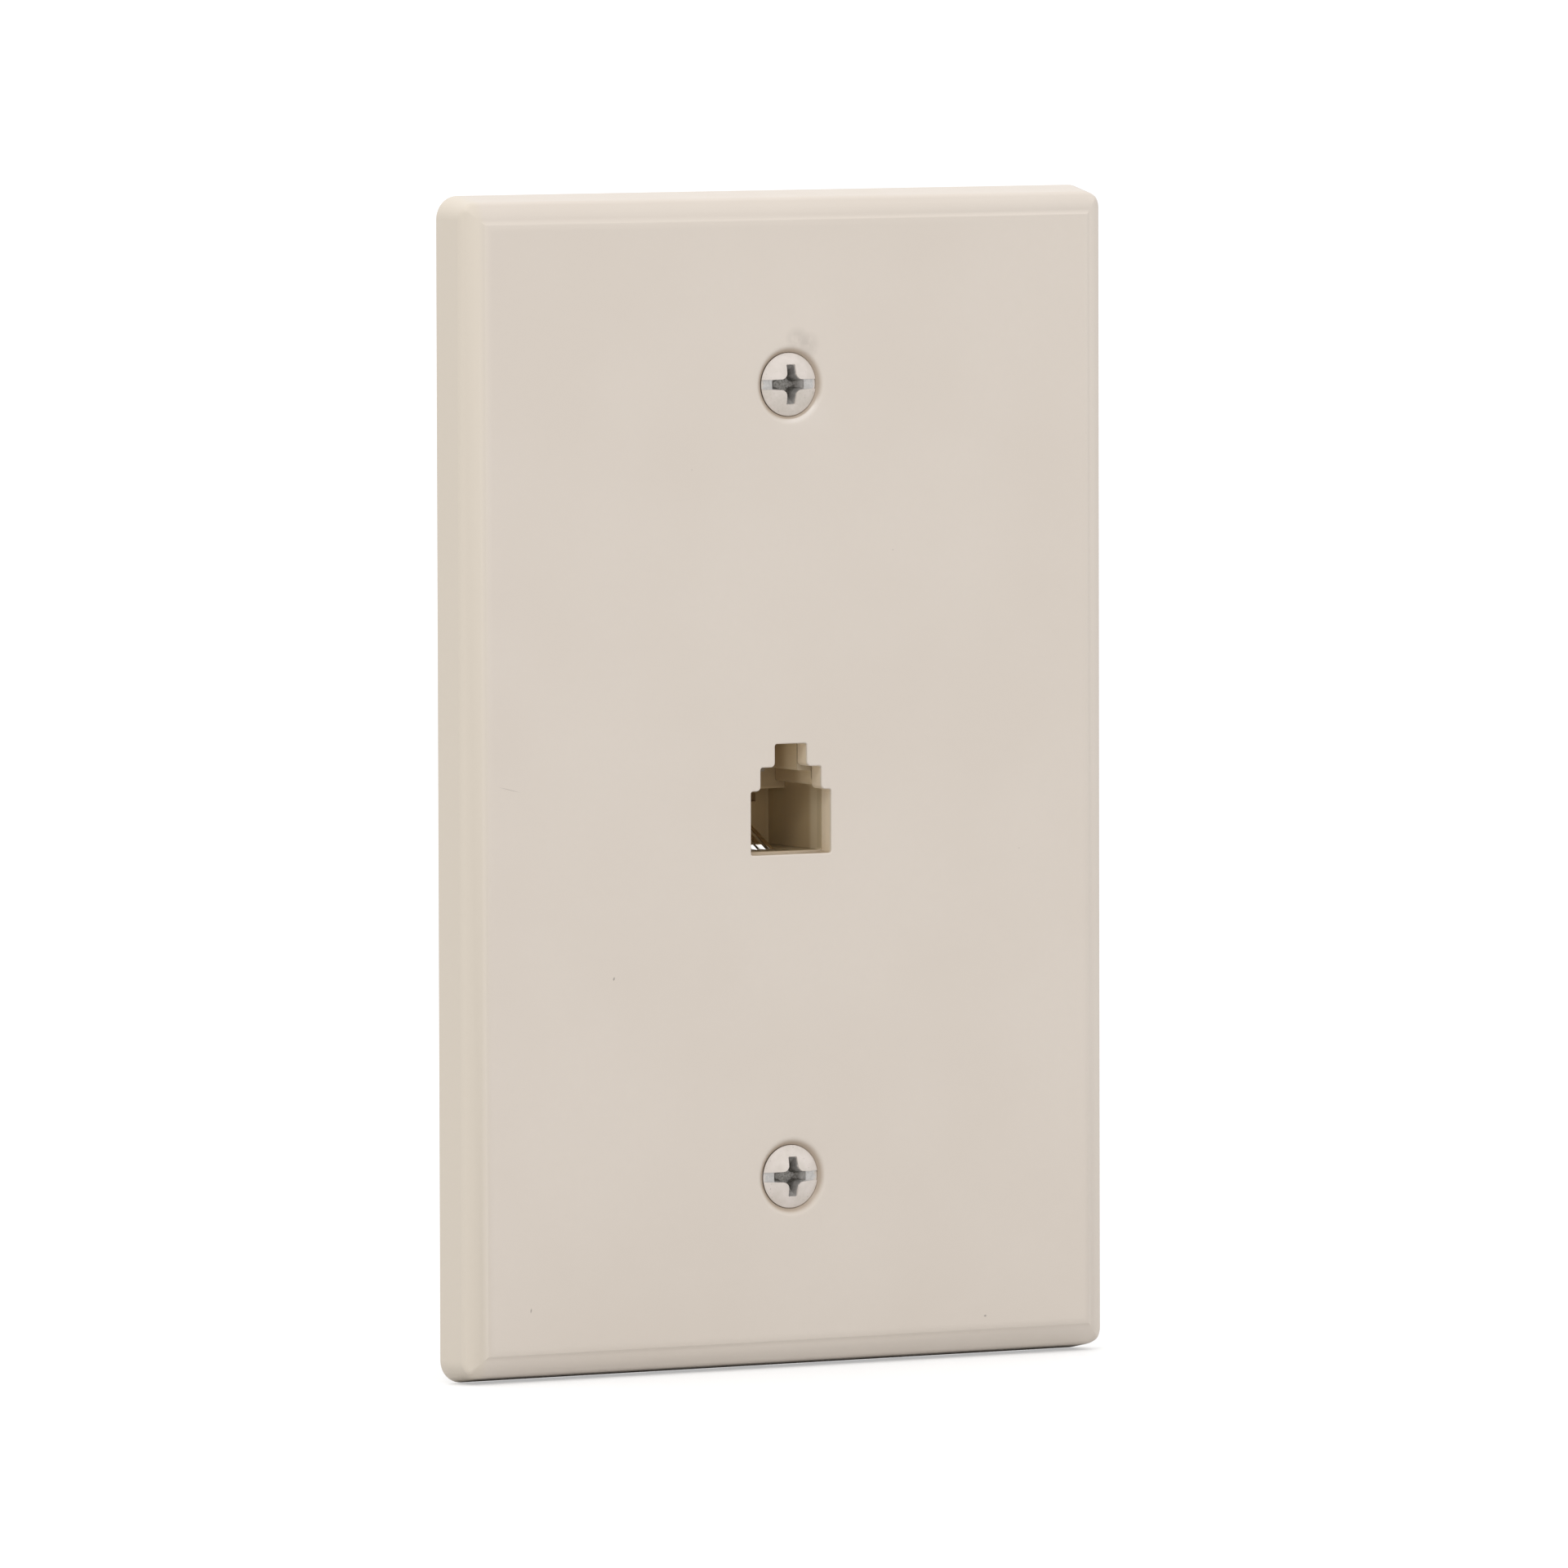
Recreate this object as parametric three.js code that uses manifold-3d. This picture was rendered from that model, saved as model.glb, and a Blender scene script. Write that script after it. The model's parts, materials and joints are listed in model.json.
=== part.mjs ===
// A telephone wall plate with a modular jack, as an assembly of separate pieces.
//
// Units are millimetres. +X is to the right, +Z is up and +Y points into the wall. Every piece is drawn
// with the wall plane at y = 0 and the plate's middle at x = z = 0. At the end the whole group moves
// forward by ORIGIN_DEPTH, so that the origin is the middle of the assembly's overall box.

import * as THREE from 'three';
import { mergeVertices } from 'three/addons/utils/BufferGeometryUtils.js';
import Module from 'manifold-3d';

const wasm = await Module();
wasm.setup();

// ---------------------------------------------------------------- driving dimensions

const ORIGIN_DEPTH = 7.4; // from the wall plane to the origin

// plate: a mid-size single-gang plate
const PLATE_WIDTH = 79.5;
const PLATE_HEIGHT = 123.95;
const PLATE_DEPTH = 5.3;
const CORNER_RADIUS = 2.5;
const RIDGE_INSET = 0.72; // where the steep side meets the sloping border
const RIDGE_DEPTH = 3.75;
const FACE_INSET = 3.35; // where the sloping border meets the flat face
const SKIN = 2.1; // thickness behind the flat face
const RIM_WIDTH = 2.6;
const POCKET_RADIUS = 1;
const FACE_Y = -PLATE_DEPTH;
const INSIDE_Y = FACE_Y + SKIN;
const SCREW_SPACING = 83.34; // the standard for a single-gang box

// stiffening ribs inside the plate
const RIB_THICKNESS = 1.2;
const RIB_HEIGHT = 2;
const LONG_RIB_X = 27;
const LONG_RIB_LENGTH = 100;
const CROSS_RIB_Z = 29;
const BOSS_RADIUS = 4.75;
const BOSS_BACK_Y = -0.4;

// 6-32 machine screws
const THREAD_RADIUS = 1.75;
const RUNNING_GAP = 0.08; // beside a shank that turns in a hole
const CLEARANCE_RADIUS = 2.1;
const COUNTERSINK_ANGLE = THREE.MathUtils.degToRad(82);
const MOUNT_SCREW_LENGTH = 25.4;
const MOUNT_HEAD_RADIUS = 3.35;
const MOUNT_HEAD_CROWN = 0.85;
const MOUNT_HEAD_SINK = 0.4; // the head's edge sits this far below the face
const DIMPLE_RADIUS = 3.95;
const SEAT_RADIUS = 3.55;
const SLOT_WIDTH = 1.05;
const SLOT_DEPTH = 0.95;
const CROSS_SPAN = 4;
const CROSS_WIDTH = 1;
const CROSS_DEPTH = 2.1;
const RETAINER_RADIUS = 4.75;
const RETAINER_THICKNESS = 0.8;
const RETAINER_Y = 9.6;

// jack opening: the keyed outline of a six-position modular jack, as half-widths and heights
const OPENING_FLOOR = -7.7;
const OPENING_STEPS = [
  { half: 4.88, top: -0.97 },
  { half: 3.7, top: 1.5 },
  { half: 1.95, top: 3.94 },
];

// jack housing, behind the plate
const FLANGE_WIDTH = 20;
const FLANGE_HEIGHT = 18;
const FLANGE_RADIUS = 1;
const FLANGE_BACK_Y = -1.05;
const HOUSING_HALF = 6.6;
const HOUSING_TOP = 6;
const HOUSING_BOTTOM = -10.6;
const HOUSING_BACK_Y = 9.2;
const HOUSING_STEPS = [
  { half: 4.88, top: -0.6 },
  { half: 3.7, top: 0.95 },
  { half: 1.95, top: 3.94 },
];
const CAVITY_FLOOR = -7.5;
const CAVITY_TOP = -1.35; // behind the space that takes the plug's latch
const CAVITY_BACK_Y = 7.7;
const LATCH_BACK_Y = 4.3;
const REAR_POCKET = { half: 3.3, bottom: -2.9, top: -2, backY: 8.5 }; // in the cavity's rear wall
const JOINT_GAP = 0.05; // between faces that rest on one another
const FIT_GAP = 0.2; // beside moulded pieces that slide into one another
const ROOT = 1; // how far an added body runs into the one that carries it

// spring contacts: round wires that rise from the floor towards the back
const CONTACT_COUNT = 4;
const CONTACT_PITCH = 1.02;
const CONTACT_RADIUS = 0.23;
const CONTACT_SLOT = 0.7;
const BEND_Y = -1.3;
const ARM_START_Z = -9;
const LEG_Z = -9.85;
const ARM_ANGLE = THREE.MathUtils.degToRad(27);
const ARM_LENGTH = 10;
const GROOVE_TOP = -3.2;
const GROOVE_BACK_Y = 8.8;
const SLOT_FRONT_Y = -1.9;

// contact carrier, the comb block on the back of the housing
const CARRIER_BACK_Y = 13;
const CARRIER_HALF = 5.6;
const CARRIER_BOTTOM = -10.4;
const CARRIER_TOP = -4.4;
const CLIP_FRONT_Y = 5;
const CLIP_THICKNESS = 1;
const CLIP_GAP = 0.1;
const CLIP_BOTTOM = -9.4;
const CLIP_TOP = -5;
const CLIP_BAND_FRONT_Y = 10.6; // the band behind the housing that ties the two clips together
const LEG_END_Y = 12.2;

// terminal block
const BLOCK_HALF_WIDTH = 21;
const BLOCK_HALF_HEIGHT = 18;
const BLOCK_MIDDLE_Z = -2;
const BLOCK_CORNER_RADIUS = 2;
const BLOCK_FRONT_Y = FLANGE_BACK_Y + JOINT_GAP;
const BLOCK_BACK_Y = 1.5;
const TERMINAL_X = 15;
const TERMINAL_OFFSET_Z = 12;
const PAD_RADIUS = 5;
const PAD_Y = 5;
const DIVIDER_HEIGHT = 2.2;
const DIVIDER_THICKNESS = 1.6;
const DIVIDER_INNER_X = 9;
const DIVIDER_OUTER_X = 19;

// snap hooks that hold the block to the plate
const HOOK_THICKNESS = 1.4;
const HOOK_WIDTH = 6;
const HOOK_BARB = 0.8;
const HOOK_CATCH_Y = 1.65; // the barb's holding face, just behind the block
const HOOK_TIP_Y = 2.05; // where the barb starts to slope back to the leg
const HOOK_BACK_Y = 3.2;
const HOOK_OFFSET_Z = 10;

// what stacks on each terminal pad, from the pad outwards
const LUG_THICKNESS = 0.5;
const LUG_HALF_WIDTH = 3.2;
const LUG_SLOT_HALF = 2;
const LUG_BARREL_RADIUS = 1.15;
const LUG_BARREL_BORE = 0.8;
const LUG_BARREL_INNER_X = 7.5;
const LUG_BARREL_OUTER_X = 10.5;
const WASHER_RADIUS = 4.2;
const WASHER_THICKNESS = 0.7;
const TERMINAL_HEAD_RADIUS = 3.4;
const TERMINAL_HEAD_HEIGHT = 2;
const TERMINAL_HEAD_EDGE = 0.6;
const TERMINAL_SHANK_LENGTH = 6.8;

// lead wires
const LEAD_RADIUS = 0.65;
const LEAD_EXIT_Z = -6.3;
const LEAD_EXIT_PITCH = 2;
const LEAD_SOCKET_DEPTH = 1.4;
const LEAD_SOCKET_GAP = 0.1;
const LEAD_END_GAP = 0.2;
const LEAD_END_X = 9; // inside the lug's barrel
const LEAD_TOP_Y = 14.6; // the highest point of the loop behind the carrier

const LUG_Y = PAD_Y + JOINT_GAP;
const WASHER_Y = LUG_Y + LUG_THICKNESS + JOINT_GAP;
const TERMINAL_HEAD_Y = WASHER_Y + WASHER_THICKNESS + JOINT_GAP;
const BARREL_Y = LUG_Y + JOINT_GAP + LUG_BARREL_RADIUS;
const MOUNT_HEAD_Y = FACE_Y + MOUNT_HEAD_SINK;

const ROUND_STEPS = 32;
const SMALL_ROUND_STEPS = 12;
const WIRE_STEPS = 24;
const THROUGH = 1; // how far a cutter runs past the face that it opens

// ---------------------------------------------------------------- materials

function material(color, roughness, metalness) {
  return new THREE.MeshStandardMaterial({ color, roughness, metalness, flatShading: true });
}

const almondPlastic = material(0xd9cfc3, 0.35, 0);
const paintedSteel = material(0xe1d7d0, 0.45, 0.1);
const terminalPlastic = material(0xe4ddcc, 0.5, 0);
const springAlloy = material(0xd8b878, 0.25, 1);
const brass = material(0xb8945a, 0.35, 1);
const tinnedCopper = material(0xc2bfb8, 0.4, 1);
const fibre = material(0xa8683f, 0.85, 0);
const leadColors = { black: 0x202020, red: 0xa81f1a, green: 0x1f7a3a, yellow: 0xd8b820 };

// ---------------------------------------------------------------- solids

// A closed geometry as a solid that can be joined and cut.
function solid(geometry) {
  const bare = geometry.clone();
  bare.deleteAttribute('normal');
  bare.deleteAttribute('uv');
  const merged = mergeVertices(bare, 1e-5);
  return new wasm.Manifold(new wasm.Mesh({
    numProp: 3,
    vertProperties: new Float32Array(merged.attributes.position.array),
    triVerts: new Uint32Array(merged.index.array),
  }));
}

function join(solids) {
  return solids.reduce((whole, next) => whole.add(next));
}

function cut(body, cutters) {
  return body.subtract(join(cutters));
}

function piece(name, body, finish) {
  const cutMesh = body.getMesh();
  const geometry = new THREE.BufferGeometry();
  geometry.setAttribute('position', new THREE.BufferAttribute(cutMesh.vertProperties, 3));
  geometry.setIndex(new THREE.BufferAttribute(cutMesh.triVerts, 1));
  geometry.computeVertexNormals();
  const mesh = new THREE.Mesh(geometry, finish);
  mesh.name = name;
  return mesh;
}

function box(low, high) {
  const size = new THREE.Vector3(...high).sub(new THREE.Vector3(...low));
  const middle = new THREE.Vector3(...low).addScaledVector(size, 0.5);
  return solid(new THREE.BoxGeometry(...size.toArray()).translate(...middle.toArray()));
}

// A prism whose outline lies in the X-Z plane, from frontY to backY.
function prism(shape, frontY, backY) {
  const depth = backY - frontY;
  const geometry = new THREE.ExtrudeGeometry(shape, { depth, bevelEnabled: false, curveSegments: 6 });
  return solid(geometry.rotateX(Math.PI / 2).translate(0, backY, 0));
}

function polygon(points) {
  return new THREE.Shape(points.map(([x, y]) => new THREE.Vector2(x, y)));
}

function rectangle(width, height) {
  const [x, y] = [width / 2, height / 2];
  return polygon([[-x, -y], [x, -y], [x, y], [-x, y]]);
}

function roundedRectangle(width, height, radius, middle = 0) {
  const [x, y] = [width / 2 - radius, height / 2 - radius];
  const shape = new THREE.Shape();
  [[x, -y], [x, y], [-x, y], [-x, -y]].forEach(([cornerX, cornerY], quarter) => {
    const start = (quarter - 1) * Math.PI / 2;
    shape.absarc(cornerX, cornerY + middle, radius, start, start + Math.PI / 2, false);
  });
  return shape;
}

// A block whose outline widens evenly, by growth on every side, from the plate's face to the wall plane.
function taperedBlock(frontOutline, growth) {
  const depth = PLATE_DEPTH;
  const geometry = new THREE.ExtrudeGeometry(frontOutline, {
    depth, bevelThickness: depth, bevelSize: growth, bevelSegments: 1, curveSegments: 6,
  });
  const doubleEnded = solid(geometry.rotateX(Math.PI / 2).translate(0, depth, 0));
  const reach = PLATE_HEIGHT;
  return doubleEnded.intersect(box([-reach, -depth, -reach], [reach, 0, reach]));
}

// A body of revolution about an axis along Y. The profile lists [radius, y] from the front to the back.
function turned(profile, steps = ROUND_STEPS) {
  const points = profile.map(([radius, y]) => new THREE.Vector2(radius, y));
  return solid(new THREE.LatheGeometry(points, steps));
}

function rod(radius, frontY, backY, steps = ROUND_STEPS) {
  return turned([[0, frontY], [radius, frontY], [radius, backY], [0, backY]], steps);
}

function wire(curve, radius, steps) {
  const circle = new THREE.Shape().absarc(0, 0, radius, 0, 2 * Math.PI, false);
  const options = { steps, extrudePath: curve, bevelEnabled: false, curveSegments: SMALL_ROUND_STEPS / 2 };
  return solid(new THREE.ExtrudeGeometry(circle, options));
}

// The positions of count items at one pitch, centred on zero.
function spread(count, pitch) {
  return Array.from({ length: count }, (_, index) => (index - (count - 1) / 2) * pitch);
}

// ---------------------------------------------------------------- plate

function keyedOutline(steps, floor) {
  const right = [[steps[0].half, floor]];
  steps.forEach(({ half, top }, index) => {
    right.push([half, top]);
    const next = steps[index + 1];
    if (next) right.push([next.half, top]);
  });
  const left = right.map(([x, z]) => [-x, z]).reverse();
  return polygon([...right, ...left]);
}

// The room that a mounting screw's hole takes: a shallow dimple, a countersink and a clearance hole.
function screwHole() {
  const seatLength = (SEAT_RADIUS - CLEARANCE_RADIUS) / Math.tan(COUNTERSINK_ANGLE / 2);
  return turned([
    [0, FACE_Y - THROUGH],
    [DIMPLE_RADIUS, FACE_Y - THROUGH],
    [DIMPLE_RADIUS, FACE_Y],
    [SEAT_RADIUS, MOUNT_HEAD_Y],
    [CLEARANCE_RADIUS, MOUNT_HEAD_Y + seatLength],
    [CLEARANCE_RADIUS, THROUGH],
    [0, THROUGH],
  ]);
}

// A snap hook beside the terminal block: a leg with a barb that reaches in over the block's back face.
function snapHook(side) {
  const inner = BLOCK_HALF_WIDTH + FIT_GAP;
  const outline = polygon([
    [inner, INSIDE_Y - ROOT],
    [inner + HOOK_THICKNESS, INSIDE_Y - ROOT],
    [inner + HOOK_THICKNESS, HOOK_BACK_Y],
    [inner, HOOK_BACK_Y],
    [inner - HOOK_BARB, HOOK_TIP_Y],
    [inner - HOOK_BARB, HOOK_CATCH_Y],
    [inner, HOOK_CATCH_Y],
  ]);
  const geometry = new THREE.ExtrudeGeometry(outline, { depth: HOOK_WIDTH, bevelEnabled: false });
  const hook = solid(geometry.translate(0, 0, -HOOK_WIDTH / 2));
  return side > 0 ? hook : hook.mirror([1, 0, 0]);
}

function faceplate() {
  // the sloping border and the steep side are two tapers that cross at the ridge
  const borderGrowth = (FACE_INSET - RIDGE_INSET) / (PLATE_DEPTH - RIDGE_DEPTH) * PLATE_DEPTH;
  const sideGrowth = RIDGE_INSET / RIDGE_DEPTH * PLATE_DEPTH;
  const border = rectangle(PLATE_WIDTH - 2 * FACE_INSET, PLATE_HEIGHT - 2 * FACE_INSET);
  const side = roundedRectangle(
    PLATE_WIDTH - 2 * sideGrowth, PLATE_HEIGHT - 2 * sideGrowth, CORNER_RADIUS - sideGrowth);
  const outside = taperedBlock(border, borderGrowth).intersect(taperedBlock(side, sideGrowth));

  const pocket = roundedRectangle(PLATE_WIDTH - 2 * RIM_WIDTH, PLATE_HEIGHT - 2 * RIM_WIDTH, POCKET_RADIUS);
  const shell = outside.subtract(prism(pocket, INSIDE_Y, THROUGH));

  const ribFront = INSIDE_Y - ROOT;
  const ribBack = INSIDE_Y + RIB_HEIGHT;
  const ribHalf = RIB_THICKNESS / 2;
  const additions = [];
  for (const end of [-1, 1]) {
    const x = end * LONG_RIB_X;
    const z = end * CROSS_RIB_Z;
    additions.push(box([x - ribHalf, ribFront, -LONG_RIB_LENGTH / 2],
      [x + ribHalf, ribBack, LONG_RIB_LENGTH / 2]));
    additions.push(box([-LONG_RIB_X, ribFront, z - ribHalf], [LONG_RIB_X, ribBack, z + ribHalf]));
    additions.push(rod(BOSS_RADIUS, ribFront, BOSS_BACK_Y).translate([0, 0, end * SCREW_SPACING / 2]));
    for (const offset of [-HOOK_OFFSET_Z, HOOK_OFFSET_Z]) {
      additions.push(snapHook(end).translate([0, 0, BLOCK_MIDDLE_Z + offset]));
    }
  }

  const holes = [prism(keyedOutline(OPENING_STEPS, OPENING_FLOOR), FACE_Y - THROUGH, THROUGH)];
  for (const end of [-1, 1]) {
    holes.push(screwHole().translate([0, 0, end * SCREW_SPACING / 2]));
  }
  return piece('faceplate', cut(join([shell, ...additions]), holes), almondPlastic);
}

// ---------------------------------------------------------------- mounting screws

function mountingScrew(name, z) {
  const coneLength = (MOUNT_HEAD_RADIUS - THREAD_RADIUS) / Math.tan(COUNTERSINK_ANGLE / 2);
  const domeRadius = (MOUNT_HEAD_RADIUS ** 2 + MOUNT_HEAD_CROWN ** 2) / (2 * MOUNT_HEAD_CROWN);
  const domeCentreY = MOUNT_HEAD_Y - MOUNT_HEAD_CROWN + domeRadius;
  const domeSteps = 5;
  const domeAngle = Math.asin(MOUNT_HEAD_RADIUS / domeRadius);
  const dome = Array.from({ length: domeSteps + 1 }, (_, index) => {
    const angle = domeAngle * index / domeSteps;
    return [domeRadius * Math.sin(angle), domeCentreY - domeRadius * Math.cos(angle)];
  });
  const tipY = MOUNT_HEAD_Y + MOUNT_SCREW_LENGTH;
  const tipChamfer = 0.5;
  const body = turned([
    ...dome,
    [THREAD_RADIUS, MOUNT_HEAD_Y + coneLength],
    [THREAD_RADIUS, tipY - tipChamfer],
    [THREAD_RADIUS - tipChamfer, tipY],
    [0, tipY],
  ]);
  const crownY = MOUNT_HEAD_Y - MOUNT_HEAD_CROWN;
  const open = crownY - THROUGH;
  const half = CROSS_SPAN / 2;
  const recess = [
    box([-DIMPLE_RADIUS, open, -SLOT_WIDTH / 2], [DIMPLE_RADIUS, crownY + SLOT_DEPTH, SLOT_WIDTH / 2]),
    box([-half, open, -CROSS_WIDTH / 2], [half, crownY + CROSS_DEPTH, CROSS_WIDTH / 2]),
    box([-CROSS_WIDTH / 2, open, -half], [CROSS_WIDTH / 2, crownY + CROSS_DEPTH, half]),
  ];
  const mesh = piece(name, cut(body, recess), paintedSteel);
  mesh.position.z = z;
  return mesh;
}

function ring(outerRadius, innerRadius, frontY, backY) {
  return rod(outerRadius, frontY, backY).subtract(rod(innerRadius, frontY - THROUGH, backY + THROUGH));
}

function screwRetainer(name, z) {
  const backY = RETAINER_Y + RETAINER_THICKNESS;
  const mesh = piece(name, ring(RETAINER_RADIUS, THREAD_RADIUS + RUNNING_GAP, RETAINER_Y, backY), fibre);
  mesh.position.z = z;
  return mesh;
}

// ---------------------------------------------------------------- jack

function jackHousing() {
  const { half } = HOUSING_STEPS[0];
  const openingMiddle = (OPENING_FLOOR + OPENING_STEPS[2].top) / 2;
  const flange = roundedRectangle(FLANGE_WIDTH, FLANGE_HEIGHT, FLANGE_RADIUS, openingMiddle);
  const outside = join([
    prism(flange, INSIDE_Y + JOINT_GAP, FLANGE_BACK_Y),
    box([-HOUSING_HALF, FLANGE_BACK_Y - ROOT, HOUSING_BOTTOM], [HOUSING_HALF, HOUSING_BACK_Y, HOUSING_TOP]),
  ]);
  const cutters = [
    prism(keyedOutline(HOUSING_STEPS, CAVITY_FLOOR), INSIDE_Y - THROUGH, LATCH_BACK_Y),
    box([-half, FLANGE_BACK_Y, CAVITY_FLOOR], [half, CAVITY_BACK_Y, CAVITY_TOP]),
    box([-REAR_POCKET.half, CAVITY_BACK_Y - THROUGH, REAR_POCKET.bottom],
      [REAR_POCKET.half, REAR_POCKET.backY, REAR_POCKET.top]),
  ];
  const halfSlot = CONTACT_SLOT / 2;
  for (const x of spread(CONTACT_COUNT, CONTACT_PITCH)) {
    // one slot lets the wire run under the floor and rise through it
    cutters.push(box([x - halfSlot, SLOT_FRONT_Y, LEG_Z - halfSlot],
      [x + halfSlot, HOUSING_BACK_Y + THROUGH, CAVITY_FLOOR + THROUGH]));
    // a groove in the rear wall guides the wire's free end
    cutters.push(box([x - halfSlot, CAVITY_BACK_Y - THROUGH, CAVITY_FLOOR],
      [x + halfSlot, GROOVE_BACK_Y, GROOVE_TOP]));
  }
  return piece('jack_housing', cut(outside, cutters), almondPlastic);
}

function contactCarrier() {
  const front = HOUSING_BACK_Y + JOINT_GAP;
  const clipInner = HOUSING_HALF + CLIP_GAP;
  const clipOuter = clipInner + CLIP_THICKNESS;
  const parts = [
    box([-CARRIER_HALF, front, CARRIER_BOTTOM], [CARRIER_HALF, CARRIER_BACK_Y, CARRIER_TOP]),
    box([-clipOuter, CLIP_BAND_FRONT_Y, CLIP_BOTTOM], [clipOuter, CARRIER_BACK_Y, CLIP_TOP]),
  ];
  for (const [low, high] of [[-clipOuter, -clipInner], [clipInner, clipOuter]]) {
    parts.push(box([low, CLIP_FRONT_Y, CLIP_BOTTOM], [high, CARRIER_BACK_Y, CLIP_TOP]));
  }
  const halfSlot = CONTACT_SLOT / 2;
  const cutters = [];
  for (const x of spread(CONTACT_COUNT, CONTACT_PITCH)) {
    cutters.push(box([x - halfSlot, front - THROUGH, LEG_Z - halfSlot],
      [x + halfSlot, LEG_END_Y + FIT_GAP, LEG_Z + halfSlot]));
  }
  for (const x of spread(CONTACT_COUNT, LEAD_EXIT_PITCH)) {
    const socket = rod(LEAD_RADIUS + LEAD_SOCKET_GAP, CARRIER_BACK_Y - LEAD_SOCKET_DEPTH,
      CARRIER_BACK_Y + THROUGH, SMALL_ROUND_STEPS);
    cutters.push(socket.translate([x, 0, LEAD_EXIT_Z]));
  }
  return piece('contact_carrier', cut(join(parts), cutters), terminalPlastic);
}

// Each contact is one bent wire: a fixed leg under the floor, and an arm that springs about the bend.
function contactPieces() {
  return spread(CONTACT_COUNT, CONTACT_PITCH).flatMap((x, index) => {
    const legFront = new THREE.Vector3(x, BEND_Y, LEG_Z);
    const legPath = new THREE.LineCurve3(legFront, legFront.clone().setY(LEG_END_Y));
    const bend = new THREE.Vector3(x, BEND_Y, ARM_START_Z);
    const along = new THREE.Vector3(0, Math.cos(ARM_ANGLE), Math.sin(ARM_ANGLE));
    const armPath = new THREE.LineCurve3(bend, bend.clone().addScaledVector(along, ARM_LENGTH));
    return [
      piece(`contact_leg_${index + 1}`, wire(legPath, CONTACT_RADIUS, 1), springAlloy),
      piece(`contact_arm_${index + 1}`, wire(armPath, CONTACT_RADIUS, 1), springAlloy),
    ];
  });
}

// ---------------------------------------------------------------- terminal block

const terminals = [
  { color: 'black', side: -1, level: 1, exit: -1.5 },
  { color: 'red', side: -1, level: -1, exit: -0.5 },
  { color: 'green', side: 1, level: -1, exit: 0.5 },
  { color: 'yellow', side: 1, level: 1, exit: 1.5 },
].map((terminal) => ({
  ...terminal,
  x: terminal.side * TERMINAL_X,
  z: BLOCK_MIDDLE_Z + terminal.level * TERMINAL_OFFSET_Z,
}));

function terminalBlock() {
  const [width, height] = [2 * BLOCK_HALF_WIDTH, 2 * BLOCK_HALF_HEIGHT];
  const base = roundedRectangle(width, height, BLOCK_CORNER_RADIUS, BLOCK_MIDDLE_Z);
  const parts = [prism(base, BLOCK_FRONT_Y, BLOCK_BACK_Y)];
  const cutters = [
    box([-HOUSING_HALF - FIT_GAP, BLOCK_FRONT_Y - THROUGH, HOUSING_BOTTOM - FIT_GAP],
      [HOUSING_HALF + FIT_GAP, PAD_Y + THROUGH, HOUSING_TOP + FIT_GAP]),
  ];
  for (const { x, z } of terminals) {
    parts.push(rod(PAD_RADIUS, BLOCK_BACK_Y - ROOT, PAD_Y).translate([x, 0, z]));
    const hole = rod(THREAD_RADIUS + RUNNING_GAP, BLOCK_FRONT_Y - THROUGH, PAD_Y + THROUGH);
    cutters.push(hole.translate([x, 0, z]));
  }
  // a divider between the upper and the lower terminal on each side
  const dividerHalf = DIVIDER_THICKNESS / 2;
  for (const [low, high] of [[-DIVIDER_OUTER_X, -DIVIDER_INNER_X], [DIVIDER_INNER_X, DIVIDER_OUTER_X]]) {
    parts.push(box([low, BLOCK_BACK_Y - ROOT, BLOCK_MIDDLE_Z - dividerHalf],
      [high, BLOCK_BACK_Y + DIVIDER_HEIGHT, BLOCK_MIDDLE_Z + dividerHalf]));
  }
  return piece('terminal_block', cut(join(parts), cutters), terminalPlastic);
}

// A crimped fork: a flat tongue open at its outer end, with a barrel that grips the lead.
function spadeLug({ color, side, x, z }) {
  const [tongueFront, tongueBack] = [LUG_Y, LUG_Y + LUG_THICKNESS];
  const tongue = box([-LUG_HALF_WIDTH, tongueFront, -LUG_HALF_WIDTH],
    [LUG_HALF_WIDTH, tongueBack, LUG_HALF_WIDTH]);
  const neck = box([-TERMINAL_X + LUG_BARREL_INNER_X + ROOT, tongueFront, -LUG_BARREL_RADIUS],
    [-LUG_HALF_WIDTH + ROOT / 2, tongueBack, LUG_BARREL_RADIUS]);
  const slot = join([
    box([0, tongueFront - THROUGH, -LUG_SLOT_HALF],
      [LUG_HALF_WIDTH + THROUGH, tongueBack + THROUGH, LUG_SLOT_HALF]),
    rod(LUG_SLOT_HALF, tongueFront - THROUGH, tongueBack + THROUGH),
  ]);
  const barrelAt = (radius, inner, outer) => rod(radius, inner, outer, SMALL_ROUND_STEPS)
    .rotate([0, 0, -90])
    .translate([-TERMINAL_X, BARREL_Y, 0]);
  const barrel = barrelAt(LUG_BARREL_RADIUS, LUG_BARREL_INNER_X, LUG_BARREL_OUTER_X);
  const bore = barrelAt(LUG_BARREL_BORE, LUG_BARREL_INNER_X - THROUGH, LUG_BARREL_OUTER_X + THROUGH);
  const body = cut(join([tongue, neck, barrel]), [slot, bore]);
  const mesh = piece(`spade_lug_${color}`, side > 0 ? body : body.mirror([1, 0, 0]), tinnedCopper);
  mesh.position.set(x, 0, z);
  return mesh;
}

function terminalWasher({ x, z }, number) {
  const body = ring(WASHER_RADIUS, THREAD_RADIUS + RUNNING_GAP, WASHER_Y, WASHER_Y + WASHER_THICKNESS);
  const mesh = piece(`terminal_washer_${number}`, body, brass);
  mesh.position.set(x, 0, z);
  return mesh;
}

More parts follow.
